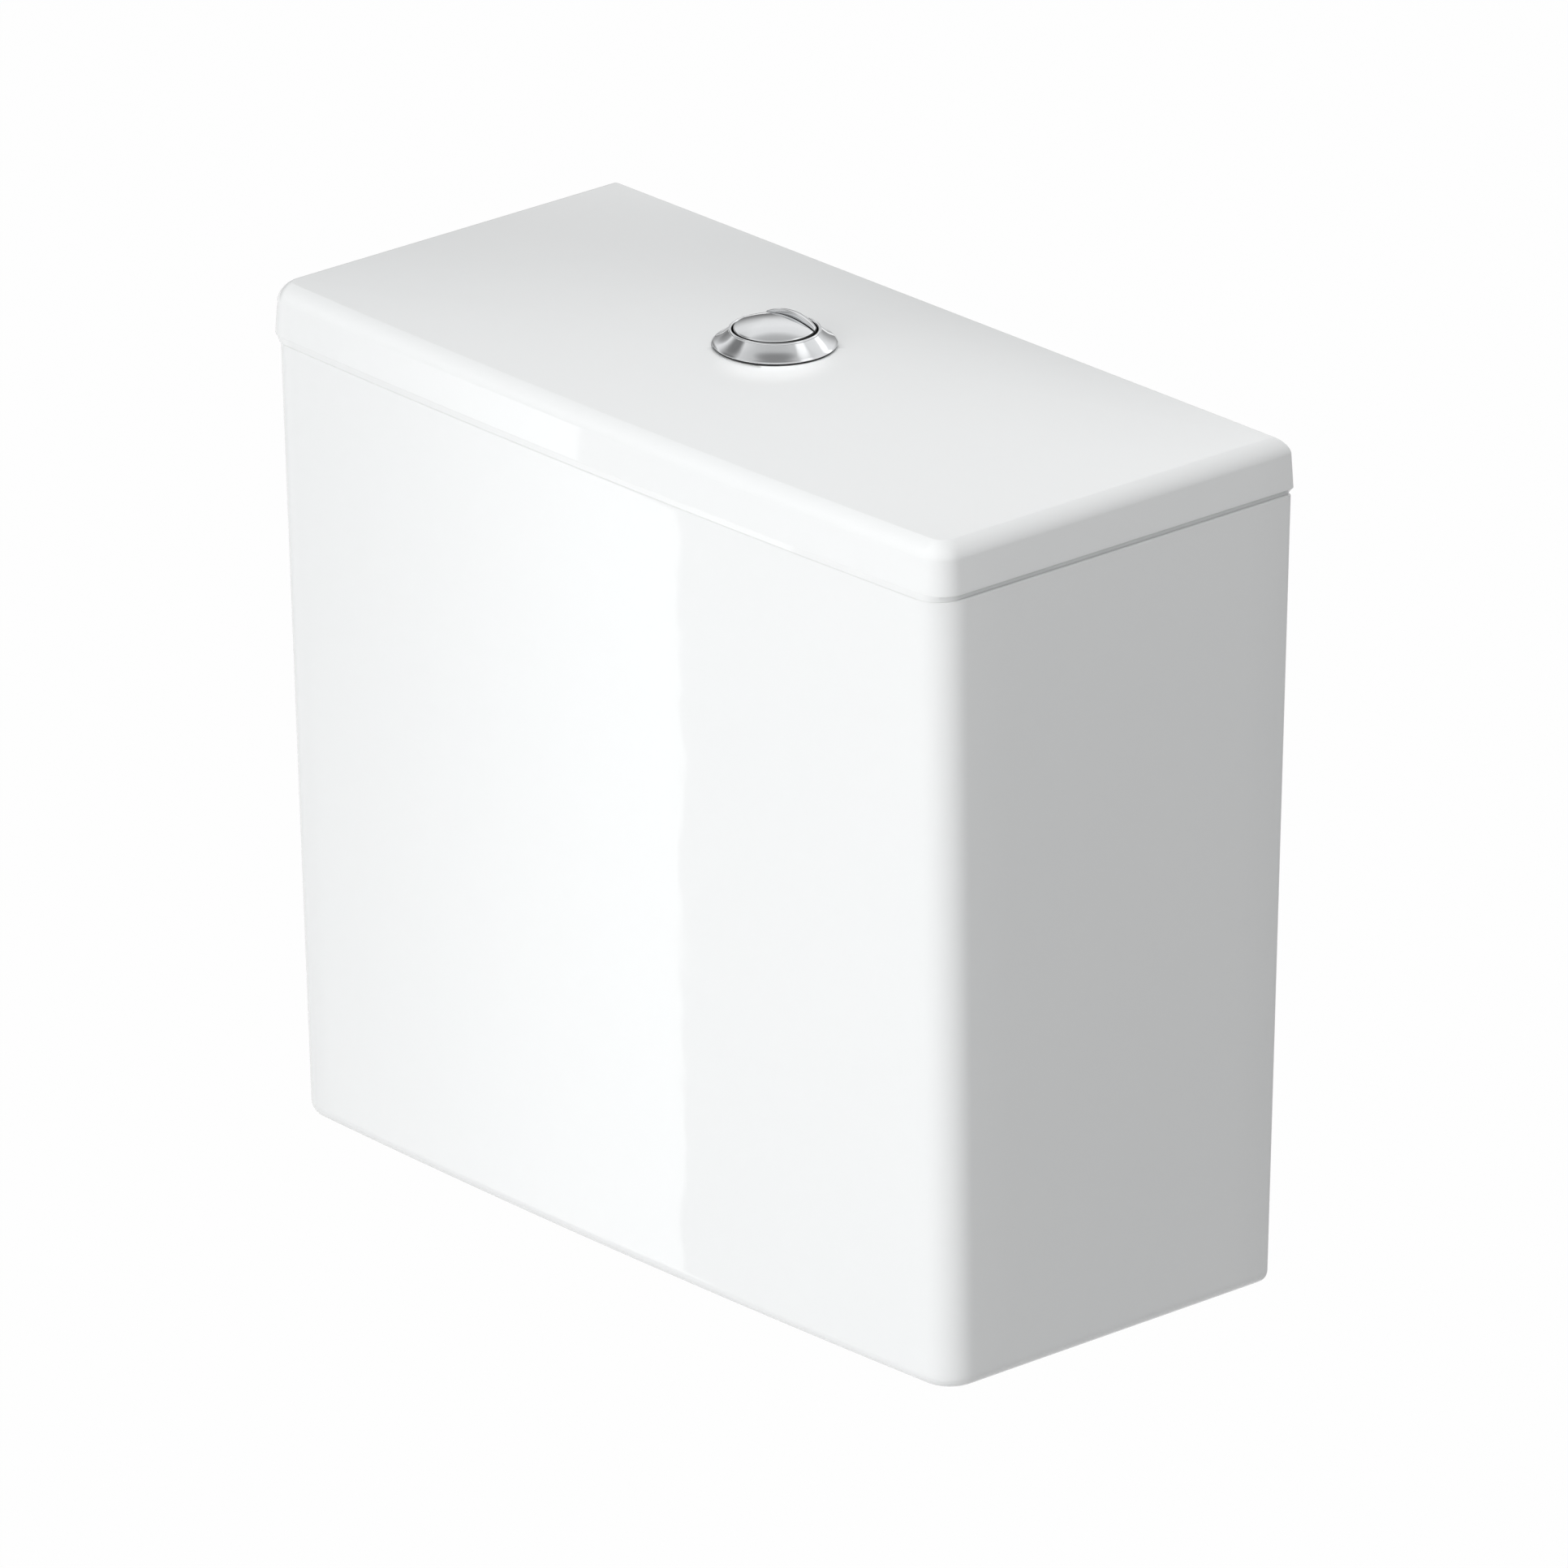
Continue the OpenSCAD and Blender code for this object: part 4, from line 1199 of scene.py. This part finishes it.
@dataclass
class PanFixings:
    """Pan bolts with rolled threads, and their chamfered nuts."""

    x: float = 75.0
    thread_r: float = 4.0
    core_r: float = 3.3
    shank_r: float = 3.6
    pitch: float = 1.25
    low: float = -30.0
    thread_top: float = -0.4
    head_z: float = 28.5
    head_h: float = 5.5
    nut_h: float = 6.5
    flats: float = 13.0
    nut_bore: float = 3.65

    def thread(self, x: float) -> Piece:
        """Model the free thread of one bolt as a screwed ridge, cut flat at both ends.

        Args:
            x: place of the bolt.

        Returns:
            The piece.
        """
        rings = []
        count = 28
        turns = math.ceil((self.thread_top - self.low) / self.pitch) + 2
        deselect()
        bpy.ops.mesh.primitive_plane_add(size=1)
        piece = bpy.context.object
        bpy.ops.object.mode_set(mode="EDIT")
        mesh = bmesh.from_edit_mesh(piece.data)
        mesh.clear()
        for share, r in ((0, self.core_r), (0.38, self.thread_r), (0.5, self.thread_r), (0.88, self.core_r), (1, self.core_r)):
            rings.append(mesh.verts.new((r * MM, 0, (self.low - self.pitch + share * self.pitch) * MM)))
        for first, second in zip(rings, rings[1:]):
            mesh.edges.new((first, second))
        bmesh.update_edit_mesh(piece.data)
        bpy.ops.object.mode_set(mode="OBJECT")
        screw = piece.modifiers.new("thread", "SCREW")
        screw.screw_offset = self.pitch * MM
        screw.iterations = turns
        screw.steps = count
        screw.render_steps = count
        screw.use_merge_vertices = True
        screw.merge_threshold = 1e-6
        bpy.ops.object.modifier_apply(modifier=screw.name)
        bpy.ops.object.mode_set(mode="EDIT")
        for z, up in ((self.low, False), (self.thread_top, True)):
            bpy.ops.mesh.select_all(action="SELECT")
            bpy.ops.mesh.bisect(
                plane_co=(0, 0, z * MM),
                plane_no=(0, 0, 1),
                use_fill=True,
                clear_inner=not up,
                clear_outer=up,
            )
        bpy.ops.mesh.select_all(action="SELECT")
        bpy.ops.mesh.normals_make_consistent(inside=False)
        bpy.ops.transform.translate(value=(x * MM, 0, 0))
        bpy.ops.object.mode_set(mode="OBJECT")
        smooth(piece, 25)
        return piece

    def hexagon(self, x: float, low: float, high: float, bore: float) -> Piece:
        """Model a hexagon with chamfered corners, bored if it is a nut.

        Args:
            x: place of its axis.
            low: lower face.
            high: upper face.
            bore: radius of the bore, or nothing for a bolt head.

        Returns:
            The piece.
        """
        wide = self.flats / math.sqrt(3)
        flat = self.flats / 2 * 0.95
        rise = (wide - flat) * 0.58
        deselect()
        bpy.ops.mesh.primitive_cylinder_add(
            vertices=6,
            radius=wide * MM,
            depth=(high - low) * MM,
            location=(0, 0, (low + high) / 2 * MM),
            rotation=(0, 0, math.radians(30)),
        )
        piece = bpy.context.object
        bpy.ops.object.transform_apply(location=True, rotation=True, scale=True)
        profile = [(flat, low), (wide + 0.2, low + rise), (wide + 0.2, high - rise), (flat, high)]
        cut(piece, lathe("chamfer", profile, 64), "INTERSECT")
        if bore:
            deselect()
            bpy.ops.mesh.primitive_cylinder_add(vertices=32, radius=bore * MM, depth=0.05)
            cut(piece, bpy.context.object)
        pick(piece)
        bpy.ops.object.mode_set(mode="EDIT")
        bpy.ops.mesh.select_all(action="SELECT")
        bpy.ops.transform.translate(value=(x * MM, 0, 0))
        bpy.ops.object.mode_set(mode="OBJECT")
        smooth(piece, 25)
        return piece

    def shank(self, x: float) -> Piece:
        """Model the plain shank between the head and the free thread."""
        profile = [(self.shank_r - 0.3, self.thread_top - 0.2), (self.shank_r, self.thread_top + 0.1), (self.shank_r, self.head_z + 0.1)]
        rings = [circle(r, z, 32, (x, 0.0)) for r, z in profile]
        return ring_stack("shank", rings)

    def dress(self, steel: bpy.types.Material) -> None:
        """Build the bolts and nuts.

        Args:
            steel: their finish.
        """
        parts = []
        nuts = []
        for x in (-self.x, self.x):
            parts += [self.shank(x), self.thread(x), self.hexagon(x, self.head_z, self.head_z + self.head_h, 0.0)]
            nuts.append(self.hexagon(x, 0.0, self.nut_h, self.nut_bore))
        dress(join("threaded_bolts", parts), steel, "tank", Slot.STEEL, "pan_bolts")
        dress(join("chamfered_nuts", nuts), steel, "tank", Slot.STEEL, "bolt_nuts")


@dataclass(frozen=True)
class Moulding:
    """One piece that keeps its CAD shape and gets softened edges."""

    node: str
    slot: Slot
    edge: float = 0.4


@dataclass
class Mechanism:
    """Flush valve, fill valve and seals: the CAD shapes with softened edges and their finishes."""

    pieces: tuple[Moulding, ...] = (
        Moulding("bezel_gasket", Slot.RUBBER, 0.2),
        Moulding("bezel_lock_nut", Slot.WHITE, 0.5),
        Moulding("full_flush_rod", Slot.GREY, 0.2),
        Moulding("half_flush_rod", Slot.GREY, 0.2),
        Moulding("valve_seat", Slot.WHITE, 0.5),
        Moulding("seat_washer", Slot.RUBBER, 0.4),
        Moulding("outlet_back_nut", Slot.WHITE, 0.8),
        Moulding("coupling_gasket", Slot.RUBBER, 1.2),
        Moulding("valve_cage", Slot.WHITE, 0.5),
        Moulding("valve_head", Slot.WHITE, 0.5),
        Moulding("lever_pin", Slot.STEEL, 0.2),
        Moulding("full_flush_lever", Slot.BLUE, 0.5),
        Moulding("half_flush_lever", Slot.BLUE, 0.5),
        Moulding("lift_yoke", Slot.GREY, 0.5),
        Moulding("overflow_tube", Slot.GREY, 0.4),
        Moulding("tube_float", Slot.WHITE, 0.5),
        Moulding("flush_seal", Slot.RUBBER, 0.4),
        Moulding("seal_retainer", Slot.WHITE, 0.4),
        Moulding("fill_valve_body", Slot.WHITE, 0.4),
        Moulding("inlet_washer", Slot.RUBBER, 0.4),
        Moulding("inlet_back_nut", Slot.WHITE, 0.6),
        Moulding("inlet_filter", Slot.BLUE, 0.2),
        Moulding("fill_valve_cap", Slot.WHITE, 0.5),
        Moulding("fill_diaphragm", Slot.RUBBER, 0.3),
        Moulding("float_cup", Slot.WHITE, 0.5),
        Moulding("float_link", Slot.STEEL, 0.15),
        Moulding("float_arm", Slot.BLUE, 0.5),
        Moulding("float_arm_pin", Slot.STEEL, 0.2),
        Moulding("bolt_cone_washers", Slot.RUBBER, 0.4),
        Moulding("bolt_steel_washers", Slot.STEEL, 0.2),
        Moulding("bolt_flat_washers", Slot.RUBBER, 0.4),
    )

    def softened(self, item: Moulding) -> Piece:
        """Copy a CAD node, merge it and round its edges.

        Args:
            item: the node and the width of its edge rounding.

        Returns:
            The new piece.
        """
        source = frame["nodes"][item.node]
        piece = bpy.data.objects.new(item.node + "_moulded", source.data.copy())
        bpy.context.scene.collection.objects.link(piece)
        pick(piece)
        bpy.ops.object.mode_set(mode="EDIT")
        bpy.ops.mesh.select_all(action="SELECT")
        bpy.ops.mesh.remove_doubles(threshold=1e-6)
        bpy.ops.mesh.dissolve_limited(angle_limit=math.radians(0.2))
        bpy.ops.object.mode_set(mode="OBJECT")
        bevel(piece, item.edge, 2, 35)
        smooth(piece, 30)
        return piece

    def dress(self, finishes: dict[Slot, bpy.types.Material], special: dict[str, bpy.types.Material]) -> None:
        """Build and dress every moulding.

        Args:
            finishes: the finish of each slot.
            special: finishes of single nodes, such as a threaded shank.
        """
        bodies = {n: b for b, nodes in frame["record"]["behaviour"]["bodies"].items() for n in nodes}
        for item in self.pieces:
            material = special.get(item.node, finishes[item.slot])
            dress(self.softened(item), material, bodies[item.node], item.slot, item.node)


@dataclass(frozen=True)
class Lamp:
    """One soft area lamp that looks at a point on the cistern."""

    name: str
    place: Point
    size: tuple[float, float]
    power: float
    target: Point = (0.0, 0.0, 0.2)

    def make(self) -> None:
        """Hang the lamp where neither the camera nor a mirror sees it."""
        data = bpy.data.lights.new(self.name, "AREA")
        data.shape = "RECTANGLE"
        data.size, data.size_y = self.size
        data.energy = self.power
        lamp = bpy.data.objects.new(self.name, data)
        bpy.context.scene.collection.objects.link(lamp)
        lamp.location = self.place
        away = Vector(self.place) - Vector(self.target)
        lamp.rotation_euler = away.to_track_quat("Z", "Y").to_euler()
        lamp.visible_camera = False
        lamp.visible_glossy = False


@dataclass(frozen=True)
class Snoot:
    """A narrow spot straight down on the lid, for the light that the chrome ring throws before it."""

    name: str
    place: Point
    r: float
    level: float
    power: float

    def make(self) -> None:
        """Hang the spot where neither the camera nor a mirror sees it."""
        data = bpy.data.lights.new(self.name, "SPOT")
        data.energy = self.power
        data.spot_size = 2 * math.atan(self.r / (self.place[2] - self.level))
        data.spot_blend = 0.55
        data.shadow_soft_size = 0.01
        spot = bpy.data.objects.new(self.name, data)
        bpy.context.scene.collection.objects.link(spot)
        spot.location = self.place
        spot.visible_camera = False
        spot.visible_glossy = False


@dataclass(frozen=True)
class Patch:
    """A dark flag or a bright panel of the white room that shows in reflections alone."""

    middle: Point
    across: Point
    along: Point
    half: tuple[float, float]
    gain: float

    def share(self, shader: Shader, heading: Value) -> Value:
        """How much of the room's light comes from a heading past this patch.

        Args:
            shader: the world's tree.
            heading: the direction that is looked up.

        Returns:
            One outside the patch and its gain in the middle.
        """
        offset = shader.add(
            "ShaderNodeVectorMath",
            {"operation": "SUBTRACT"},
            {0: heading, 1: Vector(self.middle).normalized()},
        )
        away = None
        for axis, half in zip((self.across, self.along), self.half):
            scaled = Vector(axis).normalized() / half
            part = shader.add("ShaderNodeVectorMath", {"operation": "DOT_PRODUCT"}, {0: offset, 1: scaled}, "Value")
            away = part * part if away is None else away + part * part
        return self.gain + (1 - self.gain) * shader.ramp(away, 0.05, 1.0)


@dataclass
class Studio:
    """Pale floor, white room, soft lamps and the photograph's camera."""

    floor_z: float = -0.36
    floor_tone: float = 0.55
    ambient: float = 0.425
    room: tuple[tuple[float, float], ...] = (
        (0.0, 0.32),
        (8.0, 0.45),
        (16.0, 0.7),
        (24.0, 0.92),
        (32.0, 0.98),
        (48.0, 0.88),
        (60.0, 0.72),
        (74.0, 0.6),
        (90.0, 0.58),
    )
    patches: tuple[Patch, ...] = (
        Patch((-0.7, -0.29, 0.64), (1, 0, 0), (0, 0.758, 0.652), (0.21, 0.5), 0.25),
        Patch((-0.96, 0.05, 0.24), (1, 0, 0), (0, 1, 0), (0.07, 0.4), 0.5),
        Patch((0.0, 0.0, 1.0), (0.661, 0.75, 0), (0.75, -0.661, 0), (0.42, 0.27), 0.5),
        Patch((-0.4, 0.36, 0.84), (0.664, 0.748, 0), (0.748, -0.664, 0), (0.4, 0.18), 0.68),
        Patch((0.366, 0.418, 0.832), (0.983, -0.184, 0), (0.184, 0.983, 0), (0.5, 0.15), 1.7),
        Patch((0.013, 0.881, 0.473), (0.776, 0.286, -0.563), (-0.734, 0.248, -0.632), (0.32, 0.14), 1.7),
    )
    turn: float = 0.845
    tilt: float = 0.3763
    distance: float = 7.992
    shift_x: float = 0.00495
    shift_y: float = -0.16276
    lens: float = 478.97
    datum: Point = (0.0, -0.002, 0.3597)
    lamps: tuple[Lamp, ...] = (
        Lamp("key", (0.38, -2.85, 1.0), (2.0, 1.8), 40.0),
        Lamp("ceiling", (0.0, 0.0, 2.46), (1.6, 1.6), 9.9, target=(0.0, 0.0, 0.36)),
        Lamp("overhead", (0.3, 0.05, 0.95), (0.5, 0.5), 1.1, target=(0.1, 0.0, 0.36)),
        Lamp("low_fill", (0.45, -2.1, 0.0), (1.4, 0.5), 10.5),
        Lamp("back_fill", (-0.8, 2.8, 0.8), (2.0, 1.5), 11.0),
    )
    spots: tuple[Snoot, ...] = (Snoot("bezel_glow", (0.0142, -0.0126, 1.8), 0.018, 0.366, 34.0),)

    def camera(self) -> None:
        """Set the camera where the photograph was taken from."""
        a, e = self.turn, self.tilt
        right = Vector((math.cos(a), math.sin(a), 0))
        up = Vector((-math.sin(a) * math.sin(e), math.cos(a) * math.sin(e), math.cos(e)))
        back = Vector((math.sin(a) * math.cos(e), -math.cos(a) * math.cos(e), math.sin(e)))
        place = Vector(self.datum) + right * self.shift_x + up * self.shift_y + back * self.distance
        data = bpy.data.cameras.new("camera")
        data.sensor_width = 36.0
        data.lens = self.lens
        data.clip_end = 100.0
        camera = bpy.data.objects.new("camera", data)
        bpy.context.scene.collection.objects.link(camera)
        turn = Matrix((right, up, back)).transposed().to_4x4()
        camera.matrix_world = Matrix.Translation(place) @ turn
        bpy.context.scene.camera = camera

    def world(self) -> None:
        """Light the scene evenly; the camera sees white, and reflections a white room with its patches."""
        world = bpy.data.worlds.new("surround")
        bpy.context.scene.world = world
        shader = Shader(world)
        path = "ShaderNodeLightPath"
        plain = shader.add(path, out="Is Camera Ray")
        mirrored = shader.add(path, out="Is Glossy Ray").math("MAXIMUM", shader.add(path, out="Is Transmission Ray"))
        heading = shader.add("ShaderNodeTexCoord", out="Generated")
        stops = [(math.sin(math.radians(a)), (tone, tone, tone)) for a, tone in self.room]
        tone = shader.add("ShaderNodeValToRGB", {"stops": stops}, {"Fac": shader.axis(heading, "Z")})
        strength = self.patches[0].share(shader, heading)
        for patch in self.patches[1:]:
            strength = strength * patch.share(shader, heading)
        soft = shader.add("ShaderNodeBackground", {}, {"Color": (1.0, 1.0, 1.0, 1.0), "Strength": self.ambient})
        room = shader.add("ShaderNodeBackground", {}, {"Color": tone, "Strength": strength})
        white = shader.add("ShaderNodeBackground", {}, {"Color": (1.0, 1.0, 1.0, 1.0), "Strength": 1.0})
        unseen = shader.add("ShaderNodeMixShader", {}, {0: mirrored, 1: soft, 2: room})
        mixed = shader.add("ShaderNodeMixShader", {}, {0: plain, 1: unseen, 2: white})
        shader.add("ShaderNodeOutputWorld", {}, {"Surface": mixed})

    def floor(self) -> None:
        """Lay the pale floor, white to the camera apart from a soft shadow, open when seen from below."""
        deselect()
        bpy.ops.mesh.primitive_plane_add(size=60.0, location=(0, 0, self.floor_z))
        plane = bpy.context.object
        plane.name = "floor"
        material, shader = new_shader("pale_floor")
        path = "ShaderNodeLightPath"
        seen = shader.add(path, out="Is Camera Ray").math("MAXIMUM", shader.add(path, out="Is Glossy Ray"))
        pale = shader.add("ShaderNodeBsdfDiffuse", {}, {"Color": (*(self.floor_tone,) * 3, 1.0)})
        white = shader.add("ShaderNodeEmission", {}, {"Color": (1.0, 1.0, 1.0, 1.0), "Strength": 1.0})
        mixed = shader.add("ShaderNodeMixShader", {}, {0: seen * 0.985, 1: pale, 2: white})
        clear = shader.add("ShaderNodeBsdfTransparent")
        under = shader.add("ShaderNodeNewGeometry", out="Backfacing")
        final = shader.add("ShaderNodeMixShader", {}, {0: under, 1: mixed, 2: clear})
        shader.add("ShaderNodeOutputMaterial", {}, {"Surface": final})
        plane.data.materials.append(material)

    def card(self) -> None:
        """Lay a bright card on the floor that shows in the glaze alone, with one crisp edge."""
        deselect()
        bpy.ops.mesh.primitive_plane_add(size=1.0, location=(-1.8485, -1.4625, self.floor_z + 0.002))
        plane = bpy.context.object
        plane.name = "bright_card"
        plane.scale = (3.32, 0.5, 1.0)
        plane.rotation_euler.z = math.radians(-137.37)
        material, shader = new_shader("bright_card")
        fall = shader.ramp(shader.axis(shader.place(), "Y"), -0.2, 0.5)
        tone = shader.blend(fall, (0.7, 0.7, 0.7), (2.05, 2.05, 2.05))
        glow = shader.add("ShaderNodeEmission", {}, {"Color": tone, "Strength": 1.0})
        shader.add("ShaderNodeOutputMaterial", {}, {"Surface": glow})
        plane.data.materials.append(material)
        plane.visible_camera = False
        plane.visible_diffuse = False
        plane.visible_transmission = False
        plane.visible_shadow = False

    def build(self) -> None:
        """Build the whole studio."""
        bpy.context.scene.view_settings.view_transform = "Standard"
        self.camera()
        self.world()
        self.floor()
        self.card()
        for lamp in (*self.lamps, *self.spots):
            lamp.make()


def main() -> None:
    """Build the cistern's sub-assemblies in order, then the studio."""
    finishes = {
        Slot.WHITE: PlasticFinish("white_moulding", (0.78, 0.79, 0.775)).make(),
        Slot.GREY: PlasticFinish("grey_moulding", (0.42, 0.44, 0.45), 0.38).make(),
        Slot.BLUE: PlasticFinish("blue_moulding", (0.05, 0.16, 0.36), 0.3).make(),
        Slot.RUBBER: RubberFinish("black_rubber").make(),
        Slot.STEEL: SteelFinish("turned_steel").make(),
    }
    inlet = PlasticFinish(
        "threaded_inlet",
        (0.78, 0.79, 0.775),
        thread_x=-140.0,
        thread_low=-27.2,
        thread_high=-2.2,
        thread_in=9.6,
        thread_out=10.6,
    )
    tank = CeramicTank()
    tank.dress()
    CeramicLid(tank).dress()
    PushButton().dress(finishes[Slot.STEEL])
    PanFixings().dress(finishes[Slot.STEEL])
    Mechanism().dress(finishes, {"fill_valve_body": inlet.make()})
    Studio().build()


if __name__ == "__main__":
    main()
